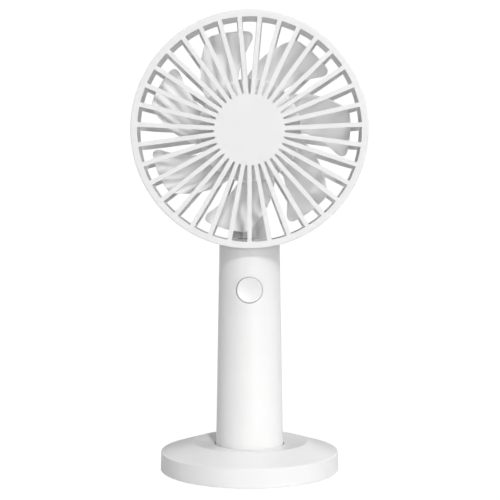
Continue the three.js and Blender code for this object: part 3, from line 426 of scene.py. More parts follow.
def make_front_grille():
    cup = rounded([
        (0, 0, 0),
        (HEAD_RADIUS, 0, 0.5),
        (HEAD_RADIUS, FACE_RIM_DEPTH, 0.15),
        (SKIRT_RADIUS, FACE_RIM_DEPTH, 0),
        (SKIRT_RADIUS, SKIRT_DEPTH, 0.3),
        (SKIRT_BORE_RADIUS, SKIRT_DEPTH, 0.3),
        (SKIRT_BORE_RADIUS, SPOKE_DEPTH, 0),
        (0, SPOKE_DEPTH, 0),
    ], closed=False)
    grille = turned("front_grille_moulding", cup, HEAD_SEGMENTS, "y", HEAD_PLACE)
    outline = slot_outline(SPOKE_WIDTH, FACE_DISC_RADIUS, FACE_OPENING_RADIUS, *FACE_SLOT_FILLETS)
    slots = prisms("slots", between_bars(outline, range(SPOKE_COUNT)), -OVERCUT, SPOKE_DEPTH + OVERCUT)
    combine(grille, [slots], "DIFFERENCE")
    soften(grille, GRILLE_EDGE)
    return smooth(grille)


def head_outline(offset):
    """Half the head's outline behind the grille, from its side to the middle of its back."""
    centre = (HEAD_RADIUS - REAR_CORNER_RADIUS, HEAD_DEPTH - REAR_CORNER_RADIUS)
    return arc(centre, REAR_CORNER_RADIUS + offset, 0, 90, REAR_CORNER_STEPS) + [(0, HEAD_DEPTH + offset)]


def whole_head(name, offset):
    """The solid inside the head's outline, for cutting other pieces to fit."""
    profile = [(0, 0), (HEAD_RADIUS + offset, 0), *head_outline(offset)]
    return turned(name, profile, HEAD_SEGMENTS, "y", HEAD_PLACE)


def neck_filler(gap):
    """The solid filling of the head over the handle, grown backwards and upwards by a gap."""
    low = (-HEAD_RADIUS / 2, FACE_Y + SKIRT_DEPTH + NECK_FRONT_GAP, NECK_FLOOR_HEIGHT - NECK_FLOOR_DEPTH)
    high = (HEAD_RADIUS / 2, FACE_Y + HEAD_DEPTH + gap, NECK_FLOOR_HEIGHT + gap)
    return block("neck_filler", low, high)


def make_rear_housing():
    """The ring round the impeller, with the solid filling over the handle."""
    start = FACE_RIM_DEPTH + SEAM
    bore = SKIRT_RADIUS + CLEARANCE
    inner = HEAD_RADIUS - REAR_WALL
    housing = turned("rear_ring_moulding", rounded([
        (HEAD_RADIUS, start, 0.2),
        (HEAD_RADIUS, REAR_RING_DEPTH, 0.2),
        (inner, REAR_RING_DEPTH, 0.15),
        (inner, SKIRT_DEPTH + CLEARANCE, 0),
        (bore, SKIRT_DEPTH + CLEARANCE, 0),
        (bore, start, 0.2),
    ]), HEAD_SEGMENTS, "y", HEAD_PLACE)
    filler = neck_filler(0)
    combine(filler, [whole_head("envelope", 0)], "INTERSECT")
    soften(filler, FILLER_EDGE)
    combine(housing, [filler], "UNION")
    return smooth(housing)


def make_rear_cage():
    """The cage behind the impeller, with its bars wrapped over the rounded shoulder."""
    inside = list(reversed(head_outline(-REAR_WALL)))
    start = REAR_RING_DEPTH + SEAM
    profile = [*inside, (HEAD_RADIUS - REAR_WALL, start), (HEAD_RADIUS, start), *head_outline(0)]
    cage = turned("rear_cage_moulding", profile, HEAD_SEGMENTS, "y", HEAD_PLACE)
    reach = HEAD_RADIUS + 2 * OVERCUT
    outline = slot_outline(REAR_BAR_WIDTH, REAR_SEAT_RADIUS, reach, REAR_SEAT_FILLET, 0)
    gaps = range(1, SPOKE_COUNT - 1)
    slots = prisms("slots", between_bars(outline, gaps), REAR_SLOT_START, HEAD_DEPTH + 2 * OVERCUT)
    combine(cage, [slots, neck_filler(SEAM)], "DIFFERENCE")

    plinth_root = HEAD_DEPTH - REAR_WALL / 2
    plinth_profile = rounded([
        (PLINTH_RADIUS - PLINTH_WALL, PLINTH_FRONT, 0.3),
        (PLINTH_RADIUS, PLINTH_FRONT, 0.3),
        (PLINTH_RADIUS, plinth_root, 0),
        (PLINTH_RADIUS - PLINTH_WALL, plinth_root, 0),
    ])
    plinth = turned("plinth", plinth_profile, HEAD_SEGMENTS // 2, "y", HEAD_PLACE)
    notch_z = AXIS_HEIGHT - PLINTH_RADIUS
    notch_low = (-PLINTH_NOTCH_HALF_WIDTH, FACE_Y + PLINTH_FRONT - OVERCUT, notch_z - OVERCUT)
    notch_high = (PLINTH_NOTCH_HALF_WIDTH, FACE_Y + HEAD_DEPTH - REAR_WALL, notch_z + PLINTH_NOTCH_HEIGHT)
    notch = block("notch", notch_low, notch_high)
    combine(plinth, [notch], "DIFFERENCE")
    combine(cage, [plinth], "UNION")
    soften(cage, CAGE_EDGE, 3)
    return smooth(cage)


def make_channel_cover():
    """The cover over the motor wires, hollow towards the back, between the neck and the plinth."""
    half = CHANNEL_WIDTH / 2
    front = FACE_Y + CHANNEL_FRONT
    back = FACE_Y + HEAD_DEPTH
    bottom = NECK_FLOOR_HEIGHT + CLEARANCE
    top = AXIS_HEIGHT - PLINTH_RADIUS - CLEARANCE
    cover = block("wire_channel_moulding", (-half, front, bottom), (half, back, top))
    hollow = block("hollow", (-half + CHANNEL_WALL, front + CHANNEL_WALL, bottom - OVERCUT),
                   (half - CHANNEL_WALL, back + OVERCUT, top + OVERCUT))
    envelope = whole_head("envelope", -REAR_WALL - CHANNEL_BACK_GAP)
    combine(cover, [envelope], "INTERSECT")
    combine(cover, [hollow], "DIFFERENCE")
    soften(cover, COVER_EDGE, 3)
    return smooth(cover)


# ---------------------------------------------------------------- impeller

def lerp(a, b, share):
    return a + (b - a) * share


def corner_drop(distance, size):
    """How far a rounded corner falls back from the tip circle, by the distance from the blade's edge."""
    past = max(0, 1 - distance / size)
    return size * (1 - math.sqrt(1 - past ** 2))


def blade_point(chord, span, side):
    """A point of a blade: chord runs from the trailing to the leading edge, span from root to tip."""
    tip_chord = math.radians(LEADING_TIP_ANGLE - TRAILING_TIP_ANGLE) * BLADE_TIP_RADIUS
    tip = BLADE_TIP_RADIUS - corner_drop((1 - chord) * tip_chord, BLADE_LEADING_CORNER)
    tip -= BLADE_TRAILING_FALL * corner_drop(chord * tip_chord, BLADE_TRAILING_CORNER)
    radius = lerp(BLADE_ROOT_RADIUS, tip, span)
    reach = (radius - BLADE_ROOT_RADIUS) / (BLADE_TIP_RADIUS - BLADE_ROOT_RADIUS)
    leading = lerp(LEADING_ROOT_ANGLE, LEADING_TIP_ANGLE, reach)
    trailing = lerp(TRAILING_ROOT_ANGLE, TRAILING_TIP_ANGLE, reach)
    angle = math.radians(lerp(trailing, leading, chord))
    camber = 1 - (1 - chord) ** BLADE_CAMBER_POWER
    side_thinning = max(0, 1 - abs(2 * chord - 1) ** BLADE_EDGE_POWER) ** 0.5
    tip_thinning = max(0, 1 - span ** BLADE_TIP_POWER) ** 0.5
    edge = side_thinning * tip_thinning
    depth = lerp(BLADE_FRONT, BLADE_BACK, camber) + side * BLADE_THICKNESS / 2 * edge
    return Vector((radius * math.sin(angle), depth, radius * math.cos(angle)))


def blade_into(shape, turn, chords, spans):
    """Adds one closed blade: two skins that share their edge points, and a cap inside the hub."""
    place = Matrix.Translation(Vector(HEAD_PLACE)) @ Matrix.Rotation(turn, 4, "Y")
    skins = []
    for side in (-1, 1):
        rows = []
        for j, span in enumerate(spans):
            row = []
            for i, chord in enumerate(chords):
                on_edge = i in (0, len(chords) - 1) or j == len(spans) - 1
                if side > 0 and on_edge:
                    row.append(skins[0][j][i])
                else:
                    row.append(shape.verts.new(place @ blade_point(chord, span, side) * MM))
            rows.append(row)
        skins.append(rows)
    for rows in skins:
        for j in range(len(spans) - 1):
            for i in range(len(chords) - 1):
                shape.faces.new([rows[j][i], rows[j][i + 1], rows[j + 1][i + 1], rows[j + 1][i]])
    front_root, back_root = skins[0][0], skins[1][0]
    shape.faces.new(front_root + list(reversed(back_root[1:-1])))


def make_impeller():
    profile = rounded([
        (0, HUB_FRONT, 0),
        (HUB_RADIUS, HUB_FRONT, HUB_EDGE),
        (HUB_RADIUS, HUB_BACK, 0.3),
        (HUB_RADIUS - HUB_WALL, HUB_BACK, 0.3),
        (HUB_RADIUS - HUB_WALL, HUB_FLOOR, 0.5),
        (0, HUB_FLOOR, 0),
    ], closed=False)
    hub = turned("impeller_moulding", profile, ROUND_SEGMENTS, "y", HEAD_PLACE)
    chords = [(1 - math.cos(math.pi * step / CHORD_STEPS)) / 2 for step in range(CHORD_STEPS + 1)]
    spans = [1 - (1 - step / SPAN_STEPS) ** SPAN_GATHER for step in range(SPAN_STEPS + 1)]
    for index in range(BLADE_COUNT):
        shape = bmesh.new()
        blade_into(shape, 2 * math.pi * index / BLADE_COUNT, chords, spans)
        bmesh.ops.recalc_face_normals(shape, faces=shape.faces)
        combine(hub, [new_object("blade", shape)], "UNION")
    return smooth(hub)


# ---------------------------------------------------------------- handle

def rounded_slot(name, width, height, start, end):
    """A slot-shaped prism through the back of the handle at the controls' height."""
    flat = (width - height) / 2
    right_end = arc((flat, 0), height / 2, -90, 90, SLOT_END_STEPS)
    left_end = arc((-flat, 0), height / 2, 90, 270, SLOT_END_STEPS)
    place = Matrix.Translation(Vector((0, 0, CONTROL_HEIGHT)))
    return prisms(name, [(right_end + left_end, place)], start, end)


def rod(name, radius, start, end, x, segments):
    """A round bar from front to back at the controls' height."""
    profile = [(0, start), (radius, start), (radius, end), (0, end)]
    return turned(name, profile, segments, "y", (x, 0, CONTROL_HEIGHT))


def make_handle():
    top = AXIS_HEIGHT - HEAD_RADIUS + REAR_CORNER_RADIUS
    bore_low = handle_radius(HANDLE_FOOT) - HANDLE_WALL
    bore_high = handle_radius(HANDLE_CEILING) - HANDLE_WALL
    profile = rounded([
        (0, HANDLE_CEILING, 0),
        (bore_high, HANDLE_CEILING, 0.5),
        (bore_low, HANDLE_FOOT, 0.3),
        (handle_radius(HANDLE_FOOT), HANDLE_FOOT, 0.6),
        (handle_radius(top), top, 0),
        (0, top, 0),
    ], closed=False)
    handle = turned("handle_moulding", profile, ROUND_SEGMENTS)
    cutters = [
        whole_head("envelope", HANDLE_SEAM),
        rod("button_hole", BUTTON_HOLE_RADIUS, -HOLE_OUTER_Y, BUTTON_FLANGE_Y, 0, BUTTON_HOLE_SEGMENTS),
        rounded_slot("socket_hole", USB_WIDTH + 2 * USB_HOLE_GAP, USB_HEIGHT + 2 * USB_HOLE_GAP,
                     HOLE_INNER_Y, HOLE_OUTER_Y),
        rod("light_hole", LED_RADIUS + LED_HOLE_GAP, HOLE_INNER_Y, HOLE_OUTER_Y, LED_X, SMALL_SEGMENTS),
    ]
    combine(handle, cutters, "DIFFERENCE")
    soften(handle, HANDLE_EDGE, 3)
    return smooth(handle)


def make_button():
    """The button: a dished cap with a flange inside the handle, and a stem that meets the switch."""
    rim = BUTTON_RADIUS - BUTTON_EDGE
    dish = []
    for step in range(BUTTON_DISH_STEPS):
        share = step / BUTTON_DISH_STEPS
        dish.append((rim * share, BUTTON_FACE_Y + BUTTON_DISH_DEPTH * (1 - share ** 2)))
    edge = arc((rim, BUTTON_FACE_Y + BUTTON_EDGE), BUTTON_EDGE, -90, 0, EDGE_STEPS)
    flange_back = BUTTON_FLANGE_Y + BUTTON_FLANGE_THICKNESS
    face_back = BUTTON_FACE_Y + BUTTON_FACE_THICKNESS
    behind = [
        (BUTTON_RADIUS, BUTTON_FLANGE_Y),
        (BUTTON_RADIUS + BUTTON_FLANGE_WIDTH, BUTTON_FLANGE_Y),
        (BUTTON_RADIUS + BUTTON_FLANGE_WIDTH, flange_back),
        (BUTTON_RADIUS - BUTTON_WALL, flange_back),
        (BUTTON_RADIUS - BUTTON_WALL, face_back),
        (BUTTON_STEM_RADIUS, face_back),
        (BUTTON_STEM_RADIUS, BUTTON_STEM_END_Y),
        (0, BUTTON_STEM_END_Y),
    ]
    button = turned("power_button_cap", dish + edge + behind, BUTTON_SEGMENTS, "y", (0, 0, CONTROL_HEIGHT))
    return smooth(button)


def make_usb_socket():
    """The charging socket: a flat round-ended shell with a tongue inside."""
    shell = rounded_slot("usb_socket_shell", USB_WIDTH, USB_HEIGHT, USB_BACK_Y, USB_MOUTH_Y)
    hollow = rounded_slot("hollow", USB_WIDTH - 2 * USB_WALL, USB_HEIGHT - 2 * USB_WALL,
                          USB_MOUTH_Y - USB_MOUTH_DEPTH, USB_MOUTH_Y + OVERCUT)
    combine(shell, [hollow], "DIFFERENCE")
    tongue_low = (-TONGUE_HALF_WIDTH, USB_MOUTH_Y - TONGUE_ROOT, CONTROL_HEIGHT - TONGUE_HALF_THICKNESS)
    tongue_high = (TONGUE_HALF_WIDTH, USB_MOUTH_Y - TONGUE_RECESS, CONTROL_HEIGHT + TONGUE_HALF_THICKNESS)
    combine(shell, [block("tongue", tongue_low, tongue_high)], "UNION")
    soften(shell, USB_EDGE)
    return smooth(shell)


def make_light_pipe():
    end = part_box("charge_led")[1].y / MM
    tip = arc((LED_RADIUS - LED_EDGE, end - LED_EDGE), LED_EDGE, 0, 90, EDGE_STEPS)
    profile = [(0, USB_BACK_Y), (LED_RADIUS, USB_BACK_Y), *tip, (0, end)]
    return smooth(turned("charge_light_pipe", profile, LED_SEGMENTS, "y", (LED_X, 0, CONTROL_HEIGHT)))


# ---------------------------------------------------------------- base

def make_base_shell():
    inner_wall = BASE_RADIUS - BASE_SIDE_WALL
    pocket = SOCKET_RADIUS + SOCKET_WALL
    profile = rounded([
        (0, SOCKET_FLOOR - SOCKET_FLOOR_WALL, 0),
        (pocket, SOCKET_FLOOR - SOCKET_FLOOR_WALL, 0.4),
        (pocket, DISH_HEIGHT - BASE_WALL, 0.5),
        (CREST_RADIUS - UNDERSIDE_SHIFT, CREST_HEIGHT - BASE_WALL, 2),
        (inner_wall, BASE_RIM_HEIGHT - BASE_WALL + UNDERSIDE_SHIFT, 0.5),
        (inner_wall, BASE_SKIRT_BOTTOM, 0.2),
        (BASE_RADIUS, BASE_SKIRT_BOTTOM, 0.35),
        (BASE_RIM_RADIUS, BASE_RIM_HEIGHT, 0.5),
        (CREST_RADIUS, CREST_HEIGHT, 1.6),
        (SOCKET_RADIUS, DISH_HEIGHT, 0.35),
        (SOCKET_RADIUS, SOCKET_FLOOR, 0.5),
        (0, SOCKET_FLOOR, 0),
    ], closed=False, steps=6)
    return smooth(turned("base_cover_moulding", profile, ROUND_SEGMENTS))


def screw_places():
    """Where the screws stand round the underside of the base."""
    for index in range(BASE_SCREW_COUNT):
        angle = 2 * math.pi * index / BASE_SCREW_COUNT + math.pi / 2
        yield BASE_SCREW_CIRCLE * math.cos(angle), BASE_SCREW_CIRCLE * math.sin(angle)


def screw_well(x, y, bottom, radius, floor, hole_radius, top):
    """A cutter for a sunk screw head, with the hole of its shank above it."""
    profile = [(0, bottom), (radius, bottom), (radius, floor),
               (hole_radius, floor), (hole_radius, top), (0, top)]
    return turned("well", profile, SMALL_SEGMENTS, "z", (x, y, 0))


def make_base_plate():
    plate = turned("base_plate_moulding", rounded([
        (0, PLATE_BOTTOM, 0),
        (PLATE_RADIUS, PLATE_BOTTOM, 0.3),
        (PLATE_RADIUS, PLATE_TOP, 0.3),
        (0, PLATE_TOP, 0),
    ], closed=False), ROUND_SEGMENTS)
    inner = FOOT_INNER_RADIUS - CLEARANCE
    outer = FOOT_OUTER_RADIUS + CLEARANCE
    top = PLATE_BOTTOM + FOOT_SEAT_DEPTH
    foot_seat = turned("foot_seat", [(inner, 0), (outer, 0), (outer, top), (inner, top)], ROUND_SEGMENTS)
    wells = [screw_well(x, y, **BASE_WELL) for x, y in screw_places()]
    combine(plate, [foot_seat, *wells], "DIFFERENCE")
    soften(plate, PLATE_EDGE)
    return smooth(plate)


def make_foot_ring():
    """The non-slip ring, with fine grooves round its underside."""
    pitch = (FOOT_OUTER_RADIUS - FOOT_INNER_RADIUS) / FOOT_GROOVE_COUNT
    under = []
    for index in range(FOOT_GROOVE_COUNT):
        inner = FOOT_INNER_RADIUS + pitch * index
        under += [
            (inner + FOOT_GROOVE_FLOOR, FOOT_GROOVE_DEPTH, 0),
            (inner + FOOT_GROOVE_MOUTH, 0, 0.1),
            (inner + pitch - FOOT_GROOVE_MOUTH, 0, 0.1),
            (inner + pitch - FOOT_GROOVE_FLOOR, FOOT_GROOVE_DEPTH, 0),
        ]
    top = [
        (FOOT_OUTER_RADIUS, FOOT_EDGE_HEIGHT, 0),
        (FOOT_OUTER_RADIUS, FOOT_TOP, 0.2),
        (FOOT_INNER_RADIUS, FOOT_TOP, 0.2),
        (FOOT_INNER_RADIUS, FOOT_EDGE_HEIGHT, 0),
    ]
    return smooth(turned("foot_ring_moulding", rounded(under + top, steps=2), ROUND_SEGMENTS))


def make_screw(name, x, y, head_radius, head_bottom, head_top, shank_radius, shank_top):
    """A pan-head screw that points up, with a cross recess in its head."""
    profile = rounded([
        (0, head_bottom, 0),
        (head_radius, head_bottom, 0.35),
        (head_radius, head_top, 0.1),
        (shank_radius, head_top, 0),
        (shank_radius, shank_top, 0.3),
        (0, shank_top, 0),
    ], closed=False)
    screw = turned(name, profile, SMALL_SEGMENTS, "z", (x, y, 0))
    arm = head_radius * CROSS_ARM
    half = head_radius * CROSS_HALF_WIDTH
    low = head_bottom - OVERCUT
    high = head_bottom + min(CROSS_DEPTH_LIMIT, (head_top - head_bottom) * CROSS_DEPTH_SHARE)
    cross = block("cross", (x - arm, y - half, low), (x + arm, y + half, high))
    bar = block("bar", (x - half, y - arm, low), (x + half, y + arm, high))
    combine(cross, [bar], "UNION")
    combine(screw, [cross], "DIFFERENCE")
    return smooth(screw, SCREW_SHARP_ANGLE)


def make_handle_cap():
    radius = handle_radius(HANDLE_FOOT) - HANDLE_WALL - CAP_GAP
    cap = turned("handle_cap_moulding", rounded([
        (0, HANDLE_FOOT, 0),
        (radius, HANDLE_FOOT, 0.25),
        (radius, CAP_TOP, 0.2),
        (0, CAP_TOP, 0),
    ], closed=False), ROUND_SEGMENTS)
    wells = [screw_well(side * CAP_SCREW_X, 0, **CAP_WELL) for side in (-1, 1)]
    combine(cap, wells, "DIFFERENCE")
    soften(cap, CAP_EDGE)
    return smooth(cap)


# ---------------------------------------------------------------- materials

FLOW_SCALE = 60                 # noise scales, for coordinates in metres
FLOW_SHADE = 0.975
GLOSS_SCALE = 340
GLOSS_RANGE = (-0.05, 0.06)     # how far the roughness strays from its mean
GRAIN_SCALE = 5200
GRAIN_DEPTH = 0.04 * MM
COAT_ROUGHNESS = 0.15
BRUSH_SCALE = 900
BRUSH_SHADE = 0.82
BRUSH_GLOSS_RANGE = (-0.08, 0.1)
BRUSH_STRETCH = (1, 1, 24)
BRUSH_DEPTH = 0.05 * MM
WINDING_SCALE = 620
WINDING_DEPTH = 0.2 * MM
TRACK_SCALE = 380
TRACK_GAP = 0.06
TRACK_DEPTH = 0.05 * MM
DUST_SCALE = 260
DUST_SHADE = 1.35
RUBBER_SCALE = 3800
RUBBER_DEPTH = 0.06 * MM
HAZE_SCALE = 900
MILK_DEPTH = 1.2 * MM           # how far light wanders in milky plastic
NOISE_LOW = 0.3                 # nearly all of a noise texture's values lie between these
NOISE_HIGH = 0.7

COPPER = (0.62, 0.2, 0.06)
# a darker copper, painted into the grooves between wire turns as shade
COPPER_GROOVE_PAINTED_SHADE = (0.24, 0.07, 0.02)
SOLDER_MASK = (0.01, 0.085, 0.03)
MASKED_TRACK = (0.035, 0.2, 0.07)


def new_material(name, color, roughness, metallic=0.0):
    material = bpy.data.materials.new(name)
    material.use_nodes = True
    nodes = material.node_tree.nodes
    shader = nodes["Principled BSDF"]
    shader.inputs["Base Color"].default_value = (*color, 1)
    shader.inputs["Roughness"].default_value = roughness
    shader.inputs["Metallic"].default_value = metallic
    return material, nodes, material.node_tree.links, shader


def object_noise(nodes, links, scale, detail=3.0, stretch=(1, 1, 1)):
    """A noise texture on the object's own coordinates, in metres."""
    place = nodes.new("ShaderNodeTexCoord")
    mapping = nodes.new("ShaderNodeMapping")
    mapping.inputs["Scale"].default_value = stretch
    noise = nodes.new("ShaderNodeTexNoise")
    noise.inputs["Scale"].default_value = scale
    noise.inputs["Detail"].default_value = detail
    links.new(place.outputs["Object"], mapping.inputs["Vector"])
    links.new(mapping.outputs["Vector"], noise.inputs["Vector"])
    return noise.outputs["Fac"]


def remapped(nodes, links, source, low, high):
    """Maps a noise value to a range for roughness or a mix factor."""
    span = nodes.new("ShaderNodeMapRange")
    span.inputs["From Min"].default_value = NOISE_LOW
    span.inputs["From Max"].default_value = NOISE_HIGH
    span.inputs["To Min"].default_value = low
    span.inputs["To Max"].default_value = high
    links.new(source, span.inputs["Value"])
    return span.outputs["Result"]


def tinted(nodes, links, shader, source, first, second):
    """Colours a surface between two tones."""
    mix = nodes.new("ShaderNodeMix")
    mix.data_type = "RGBA"
    mix.inputs["A"].default_value = (*first, 1)
    mix.inputs["B"].default_value = (*second, 1)
    links.new(source, mix.inputs["Factor"])
    links.new(mix.outputs["Result"], shader.inputs["Base Color"])


def bumped(nodes, links, shader, source, strength, distance):
    """Raises a surface by a texture, up to a distance in metres."""
    bump = nodes.new("ShaderNodeBump")
    bump.inputs["Strength"].default_value = strength
    bump.inputs["Distance"].default_value = distance
    links.new(source, bump.inputs["Height"])
    links.new(bump.outputs["Normal"], shader.inputs["Normal"])


def moulded_plastic(name, color, roughness, grain=0.35, coat=0.0, milkiness=0.0):
    """Moulded plastic: a fine spark-eroded grain, slight flow variation in tone and gloss. Milky plastic
    lets light wander through thin walls."""
    material, nodes, links, shader = new_material(name, color, roughness)
    shade = tuple(channel * FLOW_SHADE for channel in color)
    flow = object_noise(nodes, links, FLOW_SCALE, 4)
    tinted(nodes, links, shader, remapped(nodes, links, flow, 0, 1), color, shade)
    gloss = object_noise(nodes, links, GLOSS_SCALE, 2)
    low, high = (roughness + change for change in GLOSS_RANGE)
    links.new(remapped(nodes, links, gloss, low, high), shader.inputs["Roughness"])
    bumped(nodes, links, shader, object_noise(nodes, links, GRAIN_SCALE, 2), grain, GRAIN_DEPTH)
    shader.inputs["Coat Weight"].default_value = coat
    shader.inputs["Coat Roughness"].default_value = COAT_ROUGHNESS
    shader.inputs["Subsurface Weight"].default_value = milkiness
    shader.inputs["Subsurface Scale"].default_value = MILK_DEPTH
    shader.inputs["Subsurface Radius"].default_value = (1, 1, 1)
    return material


def brushed_metal(name, color, roughness, stretch=BRUSH_STRETCH):
    """Metal with fine lines, as rolling or grinding leaves them."""
    material, nodes, links, shader = new_material(name, color, roughness, 1)
    lines = object_noise(nodes, links, BRUSH_SCALE, 3, stretch)
    shade = tuple(channel * BRUSH_SHADE for channel in color)
    tinted(nodes, links, shader, remapped(nodes, links, lines, 0, 1), color, shade)
    low, high = (roughness + change for change in BRUSH_GLOSS_RANGE)
    links.new(remapped(nodes, links, lines, low, high), shader.inputs["Roughness"])
    bumped(nodes, links, shader, lines, 0.25, BRUSH_DEPTH)
    return material


def wound_copper(name):
    """Enamelled wire laid in close turns, with painted shade darkening the grooves between the turns."""
    material, nodes, links, shader = new_material(name, COPPER, 0.28, 1)
    place = nodes.new("ShaderNodeTexCoord")
    turns = nodes.new("ShaderNodeTexWave")
    turns.bands_direction = "DIAGONAL"
    turns.inputs["Scale"].default_value = WINDING_SCALE
    links.new(place.outputs["Object"], turns.inputs["Vector"])
    # the bands between the turns are painted darker as shade, besides being bumped down
    tinted(nodes, links, shader, turns.outputs["Fac"], COPPER_GROOVE_PAINTED_SHADE, COPPER)
    bumped(nodes, links, shader, turns.outputs["Fac"], 0.6, WINDING_DEPTH)
    return material


def circuit_board(name):
    """Green solder mask with a faint pattern of tracks under it."""
    material, nodes, links, shader = new_material(name, SOLDER_MASK, 0.3)
    place = nodes.new("ShaderNodeTexCoord")
    tracks = nodes.new("ShaderNodeTexBrick")
    tracks.inputs["Scale"].default_value = TRACK_SCALE
    tracks.inputs["Mortar Size"].default_value = TRACK_GAP
    links.new(place.outputs["Object"], tracks.inputs["Vector"])
    tinted(nodes, links, shader, tracks.outputs["Fac"], SOLDER_MASK, MASKED_TRACK)
    bumped(nodes, links, shader, tracks.outputs["Fac"], 0.3, TRACK_DEPTH)
    return material


def soft_rubber(name, color):
    """Dull rubber with a trace of dust."""
    material, nodes, links, shader = new_material(name, color, 0.8)
    dust = object_noise(nodes, links, DUST_SCALE, 5)
    dusty = tuple(channel * DUST_SHADE for channel in color)
    tinted(nodes, links, shader, remapped(nodes, links, dust, 0, 1), color, dusty)
    bumped(nodes, links, shader, object_noise(nodes, links, RUBBER_SCALE, 2), 0.5, RUBBER_DEPTH)
    return material


def clear_plastic(name, color):
    """Clear plastic with a slight haze."""
    material, nodes, links, shader = new_material(name, color, 0.12)
    shader.inputs["Transmission Weight"].default_value = 0.6
    haze = object_noise(nodes, links, HAZE_SCALE, 3)
    links.new(remapped(nodes, links, haze, 0.1, 0.22), shader.inputs["Roughness"])
    return material


MATERIALS = {
    "white_plastic": moulded_plastic("white_plastic", (0.81, 0.81, 0.808), 0.34, grain=0.15),
    "blade_plastic": moulded_plastic("blade_plastic", (0.97, 0.97, 0.97), 0.2, grain=0.05, coat=0.5,
                                     milkiness=0.5),
    "inner_plastic": moulded_plastic("inner_plastic", (0.62, 0.62, 0.6), 0.5),
    "steel": brushed_metal("steel", (0.58, 0.59, 0.6), 0.3),
    "magnet": brushed_metal("magnet", (0.06, 0.06, 0.065), 0.5, stretch=(6, 6, 6)),
    "copper": wound_copper("copper"),
    "brass": brushed_metal("brass", (0.62, 0.44, 0.15), 0.28),
    "board": circuit_board("board"),
    "black_plastic": moulded_plastic("black_plastic", (0.014, 0.014, 0.015), 0.42),
    "cell_wrap": moulded_plastic("cell_wrap", (0.03, 0.19, 0.38), 0.3, grain=0.15, coat=0.3),
    "red_wire": moulded_plastic("red_wire", (0.45, 0.02, 0.015), 0.42, grain=0.2),
    "black_wire": moulded_plastic("black_wire", (0.012, 0.012, 0.012), 0.42, grain=0.2),
    "light_pipe": clear_plastic("light_pipe", (0.9, 0.93, 0.96)),
    "rubber": soft_rubber("rubber", (0.1, 0.102, 0.11)),
}

# ---------------------------------------------------------------- put the fan together

install(make_front_grille(), "handle_unit", "white_plastic", "front_grille", "grille_skirt")
install(make_rear_housing(), "handle_unit", "white_plastic", "rear_housing")
install(make_rear_cage(), "handle_unit", "white_plastic", "rear_shoulder", "rear_cage")
install(make_channel_cover(), "handle_unit", "white_plastic", "wire_channel_cover")
install(make_impeller(), "impeller_unit", "blade_plastic", "impeller")
install(make_handle(), "handle_unit", "white_plastic", "handle_tube")
install(make_button(), "button_unit", "white_plastic", "power_button")
install(make_usb_socket(), "handle_unit", "steel", "usb_socket")
install(make_light_pipe(), "handle_unit", "light_pipe", "charge_led")
install(make_handle_cap(), "handle_unit", "white_plastic", "bottom_cap")
install(make_base_shell(), "base", "white_plastic", "base_shell", "base_socket")
install(make_base_plate(), "base", "white_plastic", "base_bottom")
install(make_foot_ring(), "base", "rubber", "base_foot_ring")

for number, (screw_x, screw_y) in enumerate(screw_places(), start=1):
    base_screw = make_screw(f"base_screw_steel_{number}", screw_x, screw_y, **BASE_SCREW)
    install(base_screw, "base", "steel", f"base_screw_{number}")

for side, side_name in ((-1, "left"), (1, "right")):
    cap_screw = make_screw(f"cap_screw_steel_{side_name}", side * CAP_SCREW_X, 0, **CAP_SCREW)
    install(cap_screw, "handle_unit", "steel", f"cap_screw_{side_name}")

SLOTS = {row["node"]: row["material_slot"] for row in frame["record"]["subparts"]}
for node_name, node in frame["nodes"].items():
    if not node.hide_render:
        for material_slot in node.material_slots:
            material_slot.material = MATERIALS[SLOTS[node_name]]

# ---------------------------------------------------------------- stage, lights and camera
# Lengths here are in metres and angles in degrees.

LAMPS = [       # name, azimuth, elevation, distance, diameter, watts, height it aims at, spread
    ("key", 16, 40, 2.4, 0.32, 26.0, 0.11, 180),
    ("low_key", 20, 12, 2.4, 0.36, 10.5, 0.11, 180),
    ("low_fill", -20, 12, 2.4, 0.3, 4.8, 0.11, 180),
    ("right_softbox", 80, 45, 3.2, 2.4, 32.0, 0.11, 180),
    ("left_softbox", -80, 45, 3.2, 2.4, 10.0, 0.11, 180),
    ("back_softbox_right", 145, 22, 3.2, 2.0, 26.0, 0.11, 180),
    ("back_softbox_left", -145, 22, 3.2, 2.0, 24.0, 0.11, 180),
    ("foot_lamp", 14, 12, 0.5, 0.1, 0.0055, 0.02, 20),
]
AMBIENT_STRENGTH = 0.11
BACKDROP_STRENGTH = 1.02
FLOOR_REACH = 6.0
FLOOR_DROP = 0.0001
FLOOR_COLOR = (0.75, 0.75, 0.75)
FLOOR_SHADOW_COLOR = (0.03, 0.03, 0.03)
FLOOR_GLOW = 1.02
CAMERA_PLACE = (0, -0.5592, 0.1252)
CAMERA_SENSOR = 36
CAMERA_LENS = 89.9
CAMERA_DIP = 2.676              # below the horizon
CAMERA_TURN = -0.02


def light_path_mix(nodes, links, for_light, for_camera, output):
    """Shows one shader to the camera and lights the object with another."""
    choose = nodes.new("ShaderNodeMixShader")
    path = nodes.new("ShaderNodeLightPath")
    links.new(path.outputs["Is Camera Ray"], choose.inputs[0])
    links.new(for_light, choose.inputs[1])
    links.new(for_camera, choose.inputs[2])
    links.new(choose.outputs["Shader"], output.inputs["Surface"])


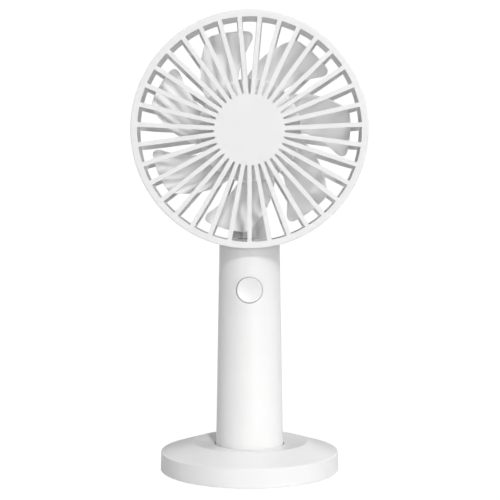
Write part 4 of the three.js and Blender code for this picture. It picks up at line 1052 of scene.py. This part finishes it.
def make_floor():
    """A pale floor that looks white to the camera and takes a faint shadow."""
    shape = bmesh.new()
    corners = [(-FLOOR_REACH, -FLOOR_REACH), (FLOOR_REACH, -FLOOR_REACH),
               (FLOOR_REACH, FLOOR_REACH), (-FLOOR_REACH, FLOOR_REACH)]
    shape.faces.new([shape.verts.new((x, y, -FLOOR_DROP)) for x, y in corners])
    floor = new_object("floor", shape)
    material, nodes, links, shader = new_material("pale_floor", FLOOR_COLOR, 0.9)
    paper = nodes.new("ShaderNodeBsdfDiffuse")
    paper.inputs["Color"].default_value = (*FLOOR_SHADOW_COLOR, 1)
    glow = nodes.new("ShaderNodeEmission")
    glow.inputs["Strength"].default_value = FLOOR_GLOW
    both = nodes.new("ShaderNodeAddShader")
    links.new(paper.outputs["BSDF"], both.inputs[0])
    links.new(glow.outputs["Emission"], both.inputs[1])
    light_path_mix(nodes, links, shader.outputs["BSDF"], both.outputs["Shader"], nodes["Material Output"])
    floor.data.materials.append(material)


def area_light(name, azimuth, elevation, distance, diameter, power, target_height, spread):
    """A round lamp. Azimuth 0 is straight in front of the fan and 90 is to its right."""
    turn = math.radians(azimuth)
    rise = math.radians(elevation)
    direction = Vector((math.sin(turn) * math.cos(rise), -math.cos(turn) * math.cos(rise), math.sin(rise)))
    light = bpy.data.lights.new(name, "AREA")
    light.shape = "DISK"
    light.size = diameter
    light.energy = power
    light.spread = math.radians(spread)
    lamp = bpy.data.objects.new(name, light)
    lamp.location = Vector((0, 0, target_height)) + direction * distance
    lamp.rotation_euler = direction.to_track_quat("Z", "Y").to_euler()
    bpy.context.scene.collection.objects.link(lamp)


def make_lights():
    for lamp in LAMPS:
        area_light(*lamp)


def make_world():
    """A white backdrop for the camera, and a weaker ambient light on the fan."""
    world = bpy.data.worlds.new("studio")
    bpy.context.scene.world = world
    world.use_nodes = True
    nodes, links = world.node_tree.nodes, world.node_tree.links
    nodes.clear()
    output = nodes.new("ShaderNodeOutputWorld")
    seen = nodes.new("ShaderNodeBackground")
    seen.inputs["Color"].default_value = (1, 1, 1, 1)
    seen.inputs["Strength"].default_value = BACKDROP_STRENGTH
    ambient = nodes.new("ShaderNodeBackground")
    ambient.inputs["Color"].default_value = (1, 1, 1, 1)
    ambient.inputs["Strength"].default_value = AMBIENT_STRENGTH
    light_path_mix(nodes, links, ambient.outputs["Background"], seen.outputs["Background"], output)


def make_camera():
    camera = bpy.data.cameras.new("camera")
    camera.sensor_width = CAMERA_SENSOR
    camera.lens = CAMERA_LENS
    camera.clip_start = 0.01
    seat = bpy.data.objects.new("camera", camera)
    seat.location = CAMERA_PLACE
    seat.rotation_euler = (math.radians(90 - CAMERA_DIP), 0, math.radians(CAMERA_TURN))
    bpy.context.scene.collection.objects.link(seat)
    bpy.context.scene.camera = seat


make_floor()
make_lights()
make_world()
make_camera()
bpy.context.scene.view_settings.view_transform = "Standard"
